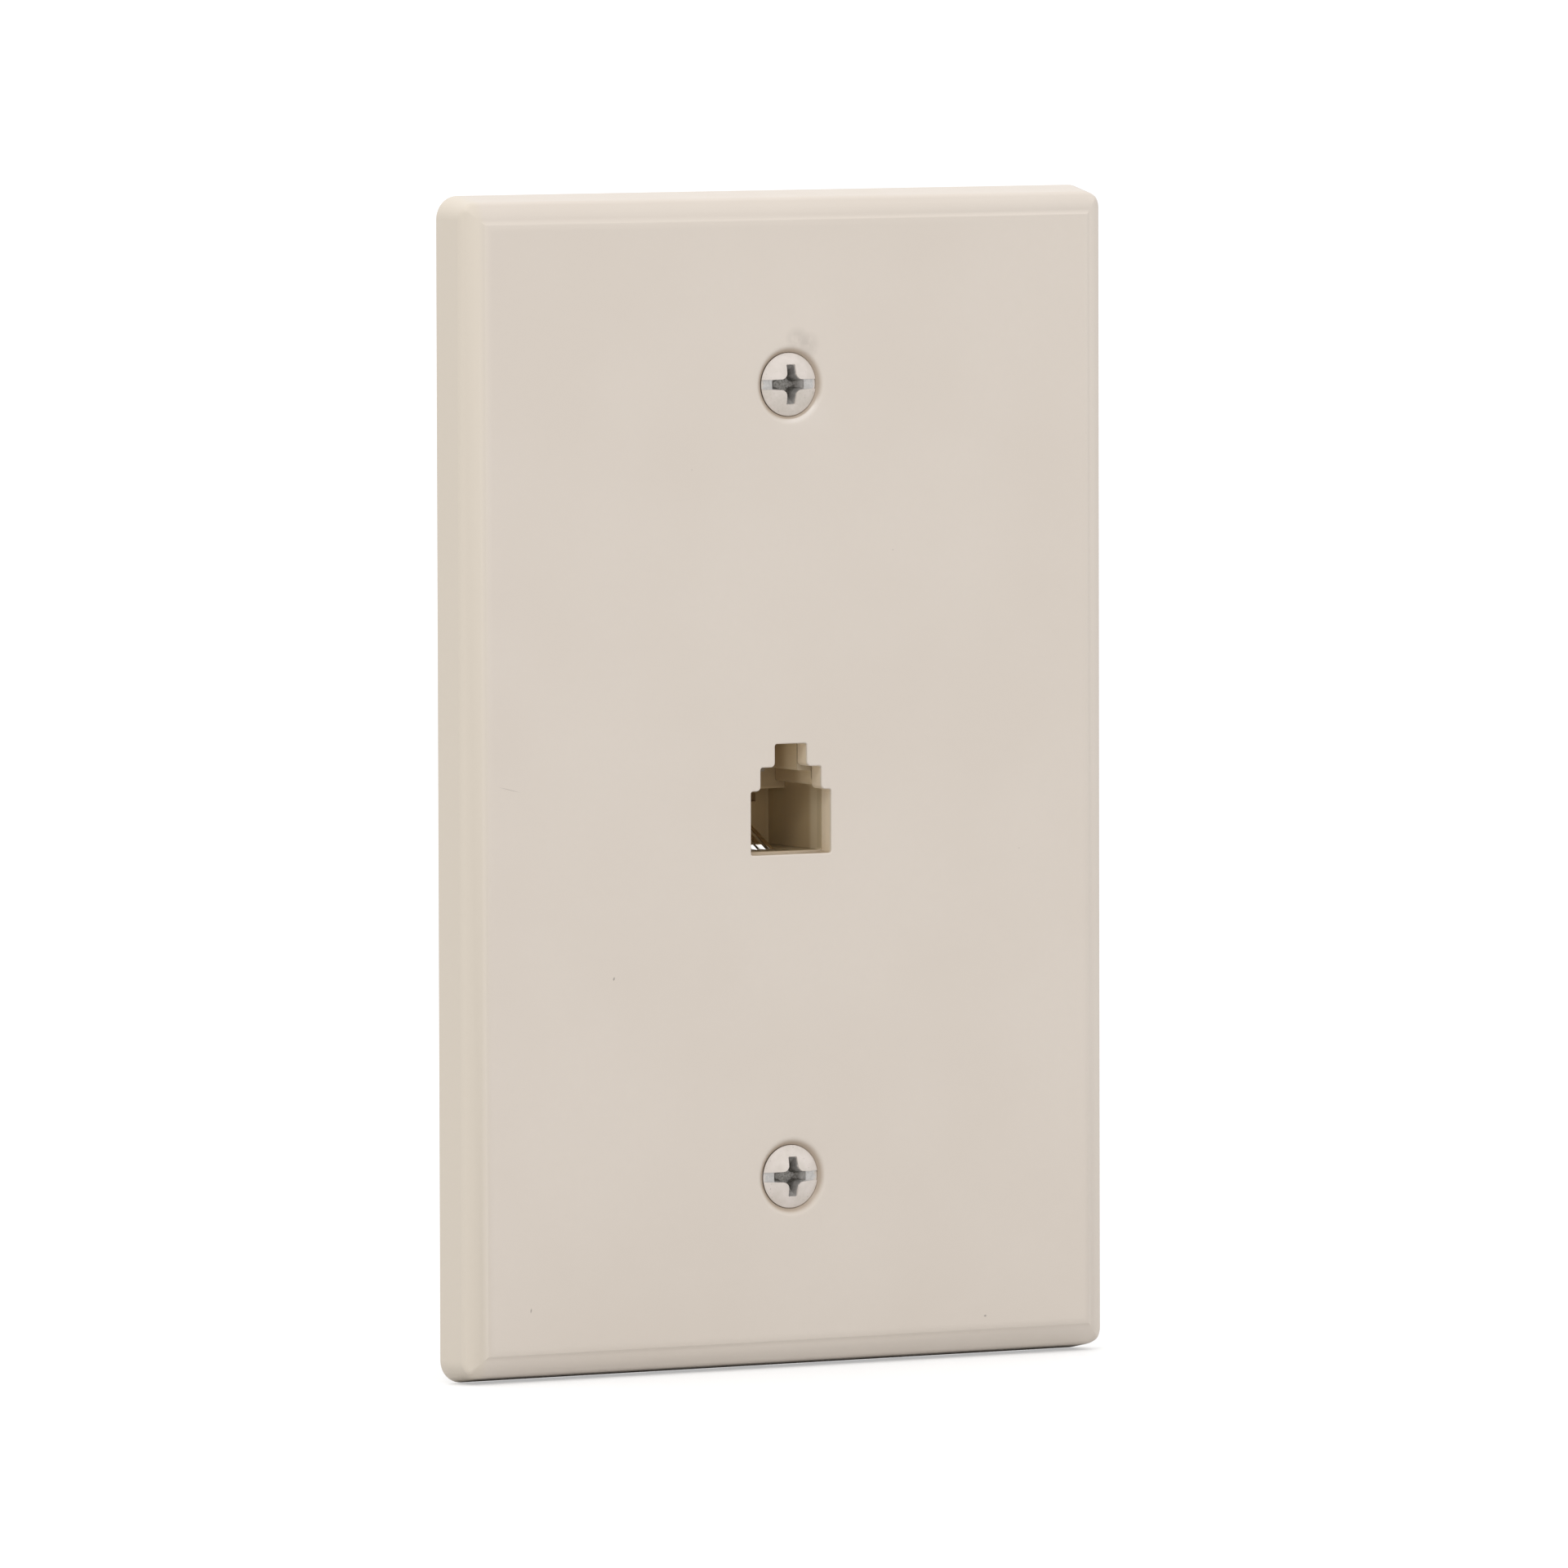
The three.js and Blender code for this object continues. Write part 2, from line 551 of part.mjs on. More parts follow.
function terminalScrew({ x, z }, number) {
  const headBack = TERMINAL_HEAD_Y + TERMINAL_HEAD_HEIGHT;
  const body = turned([
    [0, TERMINAL_HEAD_Y - TERMINAL_SHANK_LENGTH],
    [THREAD_RADIUS, TERMINAL_HEAD_Y - TERMINAL_SHANK_LENGTH],
    [THREAD_RADIUS, TERMINAL_HEAD_Y],
    [TERMINAL_HEAD_RADIUS, TERMINAL_HEAD_Y],
    [TERMINAL_HEAD_RADIUS, headBack - TERMINAL_HEAD_EDGE],
    [TERMINAL_HEAD_RADIUS - TERMINAL_HEAD_EDGE, headBack],
    [0, headBack],
  ]);
  const slot = box([-TERMINAL_HEAD_RADIUS - THROUGH, headBack - SLOT_DEPTH, -SLOT_WIDTH / 2],
    [TERMINAL_HEAD_RADIUS + THROUGH, headBack + THROUGH, SLOT_WIDTH / 2]);
  const mesh = piece(`terminal_screw_${number}`, body.subtract(slot), brass);
  mesh.position.set(x, 0, z);
  return mesh;
}

// A lead leaves the carrier backwards, loops outwards and enters its lug's barrel from the inside.
function leadWire({ color, side, level, z, exit }) {
  const startX = exit * LEAD_EXIT_PITCH;
  const points = [
    // out of the carrier, and over the top of the loop
    [startX, CARRIER_BACK_Y - LEAD_SOCKET_DEPTH + LEAD_END_GAP, LEAD_EXIT_Z],
    [startX, LEAD_TOP_Y - 0.4, LEAD_EXIT_Z],
    [startX + side * 0.6, LEAD_TOP_Y, LEAD_EXIT_Z + level * 3.6],
    // down and outwards, past the housing
    [side * 3.4, BARREL_Y + 3, z - level * 1.4],
    // straight into the barrel
    [side * (LUG_BARREL_INNER_X - 2), BARREL_Y + 0.3, z],
    [side * (LUG_BARREL_INNER_X - 0.4), BARREL_Y, z],
    [side * LEAD_END_X, BARREL_Y, z],
  ];
  const curve = new THREE.CatmullRomCurve3(points.map((point) => new THREE.Vector3(...point)));
  const insulation = material(leadColors[color], 0.45, 0);
  return piece(`lead_wire_${color}`, wire(curve, LEAD_RADIUS, WIRE_STEPS), insulation);
}

// ---------------------------------------------------------------- assembly

const assembly = new THREE.Group();
assembly.position.y = -ORIGIN_DEPTH;
assembly.add(faceplate(), jackHousing(), contactCarrier(), terminalBlock(), ...contactPieces());
for (const [place, side] of [['upper', 1], ['lower', -1]]) {
  const z = side * SCREW_SPACING / 2;
  assembly.add(mountingScrew(`mounting_screw_${place}`, z), screwRetainer(`screw_retainer_${place}`, z));
}
terminals.forEach((terminal, index) => {
  assembly.add(
    spadeLug(terminal),
    leadWire(terminal),
    terminalWasher(terminal, index + 1),
    terminalScrew(terminal, index + 1),
  );
});

export default assembly;
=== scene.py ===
import json
import math

import bmesh
import bpy
from mathutils import Matrix, Vector


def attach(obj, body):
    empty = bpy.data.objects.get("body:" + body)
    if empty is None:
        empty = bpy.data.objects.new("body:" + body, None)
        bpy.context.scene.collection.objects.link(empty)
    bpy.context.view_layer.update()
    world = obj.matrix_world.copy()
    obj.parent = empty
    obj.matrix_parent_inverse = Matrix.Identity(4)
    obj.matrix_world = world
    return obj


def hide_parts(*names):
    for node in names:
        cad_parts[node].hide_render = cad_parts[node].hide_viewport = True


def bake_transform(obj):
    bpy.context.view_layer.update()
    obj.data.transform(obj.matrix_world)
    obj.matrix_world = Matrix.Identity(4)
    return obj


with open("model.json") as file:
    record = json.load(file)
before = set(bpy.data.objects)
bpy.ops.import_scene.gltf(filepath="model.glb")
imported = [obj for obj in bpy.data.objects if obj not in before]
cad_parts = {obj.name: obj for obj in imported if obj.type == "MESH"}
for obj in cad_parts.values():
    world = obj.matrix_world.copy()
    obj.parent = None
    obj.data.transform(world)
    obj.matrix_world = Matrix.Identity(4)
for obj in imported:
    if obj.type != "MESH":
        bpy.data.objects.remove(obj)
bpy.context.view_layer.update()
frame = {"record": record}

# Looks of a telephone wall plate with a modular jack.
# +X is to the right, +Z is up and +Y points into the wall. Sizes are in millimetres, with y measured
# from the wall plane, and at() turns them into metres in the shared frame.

MM = 0.001
MOUNTS = {mount["name"]: Vector(mount["pos_m"]) for mount in frame["record"]["mounts"]}
WALL_Y = MOUNTS["wall_side"].y

# ------------------------------------------------------------------ sizes

PLATE_WIDTH, PLATE_HEIGHT, PLATE_DEPTH = 79.5, 123.95, 5.3
CORNER_RADIUS = 2.5
RIDGE_INSET, RIDGE_DEPTH = 0.72, 3.75
FACE_INSET = 3.35
FACE_Y = -PLATE_DEPTH
INSIDE_Y = -3.2
RIM_WIDTH, POCKET_RADIUS = 2.6, 1.0
SCREW_Z = 83.34 / 2
INCH = 25.4

# on the plate's back: two upright ribs, two cross ribs, and four hooks that hold the terminal block
RIB_X, RIB_Z, RIB_HALF_WIDTH = 27, 29, 0.6
UPRIGHT_RIB_REACH, CROSS_RIB_REACH = 50, 26.8
HOOK_INNER_X, HOOK_OUTER_X, HOOK_LATCH, HOOK_BACK_Y = 21.2, 22.6, 0.8, 3.2
HOOK_Z, HOOK_HALF_WIDTH = (-12, 8), 3
SINK = 0.4  # how far a rib or a hook starts inside the plate

BOSS_RADIUS, BOSS_BACK_Y = 4.75, -0.4
CLEARANCE_RADIUS, THREAD_RADIUS = 2.1, 1.75
THREAD_PITCH = INCH / 32
THREAD_DEPTH = 0.42
RETAINER_HOLE, RETAINER_RADIUS, RETAINER_Y, RETAINER_BACK_Y = 1.83, 4.75, 9.6, 10.4
HEAD_Y, HEAD_RADIUS, HEAD_CROWN = -4.9, 3.35, 0.85
HEAD_DOME = (HEAD_RADIUS ** 2 + HEAD_CROWN ** 2) / (2 * HEAD_CROWN)
HEAD_CONE = math.radians(41)
SLOT_HALF_WIDTH, SLOT_DEPTH = 0.525, 0.95
DIMPLE_RADIUS, SEAT_RADIUS = 3.95, 3.42

# half widths and tops of the keyed outline, in the plate and in the housing behind it
OPENING_STEPS = ((4.88, -0.97), (3.7, 1.5), (1.95, 3.94))
HOUSING_STEPS = ((4.88, -0.6), (3.7, 0.95), (1.95, 3.94))
OPENING_FLOOR, CAVITY_FLOOR, CAVITY_TOP = -7.7, -7.5, -1.35
CONTACT_X = (-1.53, -0.51, 0.51, 1.53)
BEND_Y, BEND_Z, LEG_Z, LEG_BACK_Y = -1.3, -9.0, -9.85, 12.2
ARM_SLOPE, ARM_LENGTH, WIRE_RADIUS = math.radians(27), 10.0, 0.23

HOUSING_FRONT_Y, FLANGE_BACK_Y, HOUSING_BACK_Y = -3.15, -1.05, 9.2
FLANGE_WIDTH, FLANGE_HEIGHT = 20, 18
HOUSING_HALF_WIDTH, HOUSING_BOTTOM, HOUSING_TOP = 6.6, -10.6, 6.0
CAVITY_BACK_Y, LATCH_BACK_Y = 7.7, 4.3
POCKET_HALF_WIDTH, POCKET_BACK_Y, POCKET_FLOOR, POCKET_TOP = 3.3, 8.5, -2.9, -2.0
GROOVE_HALF_WIDTH, GROOVE_FRONT_Y, GROOVE_BACK_Y, GROOVE_TOP = 0.35, -1.9, 8.8, -3.2

CARRIER_HALF_WIDTH, CARRIER_FRONT_Y, CARRIER_BACK_Y = 5.6, 9.25, 13.0
CARRIER_BOTTOM, CARRIER_TOP = -10.4, -4.4
CLIP_INNER_X, CLIP_OUTER_X, CLIP_FRONT_Y, CLIP_BAR_Y = 6.7, 7.7, 5.0, 10.6
CLIP_BOTTOM, CLIP_TOP = -9.4, -5.0
COMB_SLOT_FRONT_Y, COMB_SLOT_BACK_Y = 8.0, 12.4
LEAD_HOLE_RADIUS, LEAD_HOLE_Y, LEAD_Z, LEAD_RADIUS = 0.75, 11.6, -6.3, 0.65

# name, side, level, exit from the carrier
TERMINALS = (("black", -1, 1, -3), ("red", -1, -1, -1), ("green", 1, -1, 1), ("yellow", 1, 1, 3))
TERMINAL_X, TERMINAL_MIDDLE_Z, TERMINAL_OFFSET_Z = 15, -2, 12
PAD_Y, LUG_Y, WASHER_Y, TERMINAL_HEAD_Y, BARREL_Y = 5.0, 5.05, 5.6, 6.35, 6.25
BLOCK_WIDTH, BLOCK_HEIGHT, BLOCK_FRONT_Y, BLOCK_BACK_Y = 42, 36, -1.0, 1.5
BLOCK_RIB_X, BLOCK_RIB_REACH, BLOCK_RIB_BACK_Y, BLOCK_RIB_Z = 14, 5, 3.7, (-2.8, -1.2)
WINDOW_HALF_WIDTH, WINDOW_BOTTOM, WINDOW_TOP = 6.8, -10.8, 6.2
PAD_RADIUS, PAD_FRONT_Y = 5.0, 0.5
WASHER_RADIUS, WASHER_THICKNESS, LUG_THICKNESS = 4.2, 0.7, 0.5
TERMINAL_HEAD_RADIUS, TERMINAL_HEAD_HEIGHT = 3.4, 2.0


def at(x, y, z):
    return Vector((x * MM, y * MM + WALL_Y, z * MM))


# ------------------------------------------------------------------ profiles


def fillet(before, here, after, radius, steps):
    """Points that round one corner of a path. Numbers after the first two are carried along evenly."""
    middle, start, end = Vector(here), Vector(before), Vector(after)
    to_start, to_end = start - middle, end - middle
    flat_start, flat_end = Vector(to_start[:2]), Vector(to_end[:2])
    if radius <= 0 or flat_start.length < 1e-9 or flat_end.length < 1e-9:
        return [tuple(middle)] * (steps + 1)
    angle = flat_start.angle(flat_end)
    reach = min(radius / math.tan(angle / 2), 0.49 * flat_start.length, 0.49 * flat_end.length)
    radius = reach * math.tan(angle / 2)
    start = middle + to_start * (reach / flat_start.length)
    end = middle + to_end * (reach / flat_end.length)
    bisector = (flat_start.normalized() + flat_end.normalized()).normalized()
    centre = Vector(middle[:2]) + bisector * (radius / math.sin(angle / 2))
    first, last = Vector(start[:2]) - centre, Vector(end[:2]) - centre
    sweep = math.atan2(first.x * last.y - first.y * last.x, first.dot(last))
    points = []
    for step in range(steps + 1):
        share = step / steps
        point = centre + Matrix.Rotation(sweep * share, 2) @ first
        carried = start.lerp(end, share)[2:]
        points.append((point.x, point.y, *carried))
    return points


def rounded_path(corners, steps):
    """An open path through corners of (numbers..., fillet radius)."""
    points = [corners[0][:-1]]
    for before, here, after in zip(corners, corners[1:], corners[2:]):
        points += fillet(before[:-1], here[:-1], after[:-1], here[-1], steps)
    return points + [corners[-1][:-1]]


def rounded_loop(corners, steps):
    """A closed path through corners of (a, b, fillet radius)."""
    points = []
    for index, here in enumerate(corners):
        before, after = corners[index - 1], corners[(index + 1) % len(corners)]
        points += fillet(before[:-1], here[:-1], after[:-1], here[-1], steps)
    return points


def keyed_loop(outline_steps, grow, floor, corner, inner_corner):
    """The keyed outline of the jack as (x, z), grown outwards on every side."""
    right = [(outline_steps[0][0] + grow, floor - grow, corner)]
    for (half, top), following in zip(outline_steps, (*outline_steps[1:], None)):
        right.append((half + grow, top + grow, corner))
        if following:
            right.append((following[0] + grow, top + grow, inner_corner))
    left = [(-x, z, radius) for x, z, radius in reversed(right)]
    return rounded_loop(right + left, 4)


def rectangle_loop(width, height, radius, middle):
    x, z = width / 2, height / 2
    corners = ((x, -z), (x, z), (-x, z), (-x, -z))
    return rounded_loop([(a, b + middle, radius) for a, b in corners], 6)


def circle(radius, y, steps, x, z):
    angles = [2 * math.pi * step / steps for step in range(steps)]
    return [(x + radius * math.cos(a), y, z + radius * math.sin(a)) for a in angles]


def smooth_curve(controls):
    """Points along a Catmull-Rom curve through the control points."""
    steps = 12
    knots = [Vector(point) for point in controls]
    ends = [knots[0] * 2 - knots[1]] + knots + [knots[-1] * 2 - knots[-2]]
    points = []
    for p0, p1, p2, p3 in zip(ends, ends[1:], ends[2:], ends[3:]):
        for step in range(steps):
            t = step / steps
            points.append(0.5 * (2 * p1 + (p2 - p0) * t + (2 * p0 - 5 * p1 + 4 * p2 - p3) * t * t
                                 + (3 * p1 - p0 - 3 * p2 + p3) * t ** 3))
    return points + [knots[-1]]


# ------------------------------------------------------------------ mesh tools

SHARP_ANGLE, EASED_ANGLE, FLAT_ANGLE = math.radians(35), math.radians(38), math.radians(0.5)
SHORTEST_EDGE, SLIVER = 4.5e-5, 3e-7  # metres


def ring(bm, points):
    return [bm.verts.new(at(*point)) for point in points]


def bridge(bm, first, second):
    for index in range(len(first)):
        after = (index + 1) % len(first)
        bm.faces.new((first[index], first[after], second[after], second[index]))


def loft(bm, rings, cap=True):
    """Joins rings of points in turn, and closes the first and the last."""
    made = [ring(bm, points) for points in rings]
    for first, second in zip(made, made[1:]):
        bridge(bm, first, second)
    if cap:
        bm.faces.new(made[0])
        bm.faces.new(made[-1])
    return made


def turned(bm, profile, x=0.0, z=0.0, steps=64):
    """A solid of revolution about an axis along Y, from (radius, y) points that start and end on the axis."""
    rings = [ring(bm, circle(radius, y, steps, x, z)) for radius, y in profile[1:-1]]
    for first, second in zip(rings, rings[1:]):
        bridge(bm, first, second)
    for end, (_, y) in ((rings[0], profile[0]), (rings[-1], profile[-1])):
        tip = bm.verts.new(at(x, y, z))
        for index in range(steps):
            bm.faces.new((end[index], end[(index + 1) % steps], tip))


def turned_ring(bm, profile, x=0.0, z=0.0):
    """A ring about an axis along Y, from a closed loop of (radius, y) points."""
    rings = [ring(bm, circle(radius, y, 64, x, z)) for radius, y in profile]
    for index in range(len(rings)):
        bridge(bm, rings[index], rings[(index + 1) % len(rings)])


def thread(bm, start, end):
    """A right-handed screw thread about an axis along Y, fading out at both ends."""
    steps, rows_per_turn = 40, 10
    rows = round(abs(end - start) / THREAD_PITCH * rows_per_turn)
    rings = []
    for row in range(rows + 1):
        y = start + (end - start) * row / rows
        fade = min(1.0, row / rows_per_turn, 0.35 + (rows - row) / rows_per_turn)
        points = []
        for step in range(steps):
            phase = (y / THREAD_PITCH + step / steps) % 1.0
            crest = min(1.0, 1.2 * (1 - abs(2 * phase - 1)))
            size = THREAD_RADIUS - THREAD_DEPTH * ((1 - fade) * 0.5 + fade * (1 - crest))
            angle = 2 * math.pi * step / steps
            points.append((size * math.cos(angle), y, size * math.sin(angle)))
        rings.append(points)
    loft(bm, rings)


def edges_at(verts):
    """The edges that meet at some points, each once and always in the same order."""
    return list(dict.fromkeys(edge for vert in verts for edge in vert.link_edges))


def ease_edges(bm, edges, radius, segments=3):
    if radius > 0:
        bmesh.ops.bevel(bm, geom=edges, offset=radius * MM, segments=segments, profile=0.5,
                        affect="EDGES", clamp_overlap=True)


def box(bm, low, high, radius=0.0):
    low, high = at(*low), at(*high)
    matrix = Matrix.Translation((low + high) / 2) @ Matrix.Diagonal((*(high - low), 1.0))
    made = bmesh.ops.create_cube(bm, size=1.0, matrix=matrix)
    ease_edges(bm, edges_at(made["verts"]), radius)


def extruded(bm, outline, low, high, along="y", radius=0.0):
    """A prism. The outline is (x, z) and runs along y, or (x, y) and runs along z."""
    order = {"y": lambda a, b, depth: (a, depth, b), "z": lambda a, b, depth: (a, b, depth)}[along]
    made = loft(bm, [[order(a, b, depth) for a, b in outline] for depth in (low, high)])
    if radius > 0:
        rims = edges_at(vert for end in made for vert in end)
        ease_edges(bm, [edge for edge in rims if edge.calc_face_angle(0.0) > EASED_ANGLE], radius, 2)


def tube(bm, path, radius, steps):
    """A round wire along a path, with domed ends."""
    points = [Vector(point) for point in path]
    forward = [(after - before).normalized() for before, after in zip(points, points[1:])]
    tangents = [forward[0]] + [(a + b).normalized() for a, b in zip(forward, forward[1:])] + [forward[-1]]
    sizes = [radius] * len(points)
    dome = [(math.sin(a) * radius, (1 - math.cos(a)) * radius * 0.5) for a in (0.45, 0.85, 1.2)]
    start, end = points[0], points[-1]
    points = ([start + tangents[0] * (back - radius * 0.5) for _, back in dome] + points
              + [end - tangents[-1] * (back - radius * 0.5) for _, back in reversed(dome)])
    sizes = [size for size, _ in dome] + sizes + [size for size, _ in reversed(dome)]
    tangents = [tangents[0]] * len(dome) + tangents + [tangents[-1]] * len(dome)
    side = tangents[0].orthogonal().normalized()
    rings = []
    for point, tangent, size in zip(points, tangents, sizes):
        side = (side - tangent * side.dot(tangent)).normalized()
        up = tangent.cross(side)
        angles = [2 * math.pi * step / steps for step in range(steps)]
        rings.append([point + (side * math.cos(a) + up * math.sin(a)) * size for a in angles])
    loft(bm, rings)


def fill_plane(bm, y):
    """Fills the flat region between the open edges that lie at one depth."""
    level = at(0, y, 0).y
    edges = [edge for edge in bm.edges
             if edge.is_boundary and all(abs(vert.co.y - level) < 1e-7 for vert in edge.verts)]
    bmesh.ops.triangle_fill(bm, edges=edges, use_beauty=True, use_dissolve=False)


def finish_shading(piece):
    piece.data.shade_smooth()
    piece.data.set_sharp_from_angle(angle=SHARP_ANGLE)
    modifier = piece.modifiers.new("weighted_normals", "WEIGHTED_NORMAL")
    modifier.mode = "FACE_AREA"
    modifier.weight = 60
    modifier.keep_sharp = True


def make(name, draws, where=(0.0, 0.0, 0.0)):
    """One piece from functions that each draw a closed body. where moves it, in metres."""
    bm = bmesh.new()
    for draw in draws:
        draw(bm)
    bmesh.ops.remove_doubles(bm, verts=bm.verts, dist=1e-7)
    bmesh.ops.recalc_face_normals(bm, faces=bm.faces)
    mesh = bpy.data.meshes.new(name)
    bm.to_mesh(mesh)
    bm.free()
    piece = bpy.data.objects.new(name, mesh)
    piece.location = where
    bpy.context.scene.collection.objects.link(piece)
    return piece


def apply_modifiers(piece):
    graph = bpy.context.evaluated_depsgraph_get()
    result = bpy.data.meshes.new_from_object(piece.evaluated_get(graph))
    piece.modifiers.clear()
    old, piece.data = piece.data, result
    bpy.data.meshes.remove(old)


def merge_flats(piece):
    """Joins the faces that lie in one plane, so that no short edge is left to hold back the easing."""
    bm = bmesh.new()
    bm.from_mesh(piece.data)
    bmesh.ops.dissolve_limit(bm, angle_limit=FLAT_ANGLE, verts=bm.verts, edges=bm.edges)
    bmesh.ops.remove_doubles(bm, verts=bm.verts, dist=SHORTEST_EDGE)
    bm.to_mesh(piece.data)
    bm.free()


def drop_slivers(piece):
    """Removes faces that have no area."""
    bm = bmesh.new()
    bm.from_mesh(piece.data)
    bmesh.ops.dissolve_degenerate(bm, edges=bm.edges, dist=SLIVER)
    bm.to_mesh(piece.data)
    bm.free()


def carve(name, additions, cuts, edge, where=(0.0, 0.0, 0.0), flat_sided=False):
    """A moulded or cut piece: the additions joined, less the cuts, with its edges eased."""
    base = make(name, additions[:1], where)
    helpers = []
    for operation, draws in (("UNION", additions[1:]), ("DIFFERENCE", cuts)):
        for draw in draws:
            helper = make(f"{name}_helper", [draw], where)
            helpers.append(helper)
            modifier = base.modifiers.new("boolean", "BOOLEAN")
            modifier.operation = operation
            modifier.solver = "EXACT"
            modifier.object = helper
    apply_modifiers(base)
    for helper in helpers:
        mesh = helper.data
        bpy.data.objects.remove(helper)
        bpy.data.meshes.remove(mesh)
    if flat_sided:
        merge_flats(base)
    modifier = base.modifiers.new("eased_edges", "BEVEL")
    modifier.width = edge * MM
    modifier.segments = 2
    modifier.limit_method = "ANGLE"
    modifier.angle_limit = EASED_ANGLE
    apply_modifiers(base)
    drop_slivers(base)
    return base


def fit(piece, body, finish, slot, *nodes):
    """Gives a piece its finish, and lets it stand for CAD nodes on a body."""
    finish_shading(piece)
    piece.data.materials.clear()
    piece.data.materials.append(finish)
    if body:
        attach(piece, body)
    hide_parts(*nodes)


# ------------------------------------------------------------------ material tools


def add(tree, kind, inputs=None, **settings):
    node = tree.nodes.new(kind)
    for key, value in settings.items():
        setattr(node, key, value)
    for key, value in (inputs or {}).items():
        if isinstance(value, bpy.types.NodeSocket):
            tree.links.new(value, node.inputs[key])
        else:
            node.inputs[key].default_value = value
    return node


def math_node(tree, operation, first, second=0.0, third=0.0):
    node = add(tree, "ShaderNodeMath", {0: first, 1: second, 2: third}, operation=operation)
    return node.outputs[0]


def noise(tree, coords, size, detail=3.0, roughness=0.5, distortion=0.0):
    """Noise whose features are about size millimetres across."""
    inputs = {"Vector": coords, "Scale": 1.0 / (size * MM), "Detail": detail, "Roughness": roughness,
              "Distortion": distortion}
    return add(tree, "ShaderNodeTexNoise", inputs).outputs["Fac"]


def ramp(tree, value, low, high, start=0.0, end=1.0):
    """Maps low..high to start..end, and holds at both ends."""
    inputs = {"Value": value, "From Min": low, "From Max": high, "To Min": start, "To Max": end}
    return add(tree, "ShaderNodeMapRange", inputs, clamp=True).outputs["Result"]


def mix(tree, factor, first, second):
    inputs = {0: factor}
    for index, value in ((6, first), (7, second)):
        inputs[index] = value if isinstance(value, bpy.types.NodeSocket) else (*value, 1.0)
    return add(tree, "ShaderNodeMix", inputs, data_type="RGBA").outputs[2]


def bump(tree, height, distance, normal=None):
    """Bump from a height of 0..1 that stands for distance millimetres."""
    inputs = {"Height": height, "Distance": distance * MM, "Strength": 1.0}
    if normal is not None:
        inputs["Normal"] = normal
    return add(tree, "ShaderNodeBump", inputs).outputs["Normal"]


def new_material(name):
    material = bpy.data.materials.new(name)
    material.use_nodes = True
    tree = material.node_tree
    coords = add(tree, "ShaderNodeTexCoord").outputs["Object"]
    return material, tree, coords


def connect(tree, **links):
    """Sets or links inputs of the main shader, named with underscores for spaces."""
    shader = tree.nodes["Principled BSDF"]
    for key, value in links.items():
        socket = shader.inputs[key.replace("_", " ")]
        if isinstance(value, bpy.types.NodeSocket):
            tree.links.new(value, socket)
        elif isinstance(value, tuple) and socket.type == "RGBA":
            socket.default_value = (*value, 1.0)
        else:
            socket.default_value = value


def spot(tree, coords, x, z, half_width, half_height, tilt, soft):
    """1 inside a soft ellipse seen from the front, centred at (x, z), and 0 outside it."""
    inputs = {"Vector": coords, "Location": (x * MM, 0.0, z * MM),
              "Rotation": (0.0, math.radians(tilt), 0.0), "Scale": (half_width * MM, 1e6, half_height * MM)}
    mapping = add(tree, "ShaderNodeMapping", inputs, vector_type="TEXTURE").outputs[0]
    length = add(tree, "ShaderNodeVectorMath", {0: mapping}, operation="LENGTH").outputs["Value"]
    return ramp(tree, length, 1.0 - soft, 1.0, 1.0, 0.0)


# ------------------------------------------------------------------ materials

GRIME = (0.20, 0.17, 0.15)
SMUDGED = 0.95  # the softness of the marks that noise breaks up
# x, z, half width, half height, tilt in degrees, softness, strength
MARKS = (
    # the smudge above the upper screw
    (0.9, 46.5, 1.6, 1.3, 0.0, SMUDGED, 0.25),
    (2.4, 45.8, 1.3, 1.5, 0.0, SMUDGED, 0.20),
    (1.7, 45.8, 1.0, 0.9, 0.0, SMUDGED, 0.07),
    # a faint scratch at the left edge, and specks
    (-34.1, 0.2, 1.5, 0.05, 14.0, 0.6, 0.35),
    (-21.6, -20.0, 0.14, 0.24, 20.0, 0.6, 0.6),
    (-31.7, -54.3, 0.10, 0.30, 10.0, 0.6, 0.6),
    (23.7, -57.5, 0.20, 0.15, 0.0, 0.6, 0.6),
    (12.5, 24.0, 0.10, 0.10, 0.0, 0.7, 0.35),
    (-12.0, 33.0, 0.08, 0.10, 0.0, 0.7, 0.30),
    (28.0, -8.0, 0.10, 0.08, 0.0, 0.7, 0.30),
)


def within(tree, value, low, high, soft):
    """1 between low and high millimetres, and 0 outside, with soft edges."""
    rise = ramp(tree, value, (low - soft) * MM, (low + soft) * MM)
    fall = ramp(tree, value, (high - soft) * MM, (high + soft) * MM, 1.0, 0.0)
    return math_node(tree, "MULTIPLY", rise, fall)


def all_of(tree, *masks):
    product = masks[0]
    for mask in masks[1:]:
        product = math_node(tree, "MULTIPLY", product, mask)
    return product


BEYOND = 99.0  # past the part on every side


def zone(x=None, y=None, z=None):
    """A box with soft sides: (low, high, softness) along each axis given, with y from the wall plane."""
    ranges = []
    if x:
        ranges.append(("X", *x))
    if y:
        low, high, soft = y
        ranges.append(("Y", WALL_Y / MM + low, WALL_Y / MM + high, soft))
    if z:
        ranges.append(("Z", *z))
    return ranges


def inside_zones(tree, axes, *zones):
    """1 where all the zones overlap, and 0 elsewhere."""
    return all_of(tree, *(within(tree, axes[axis], low, high, soft)
                          for ranges in zones for axis, low, high, soft in ranges))


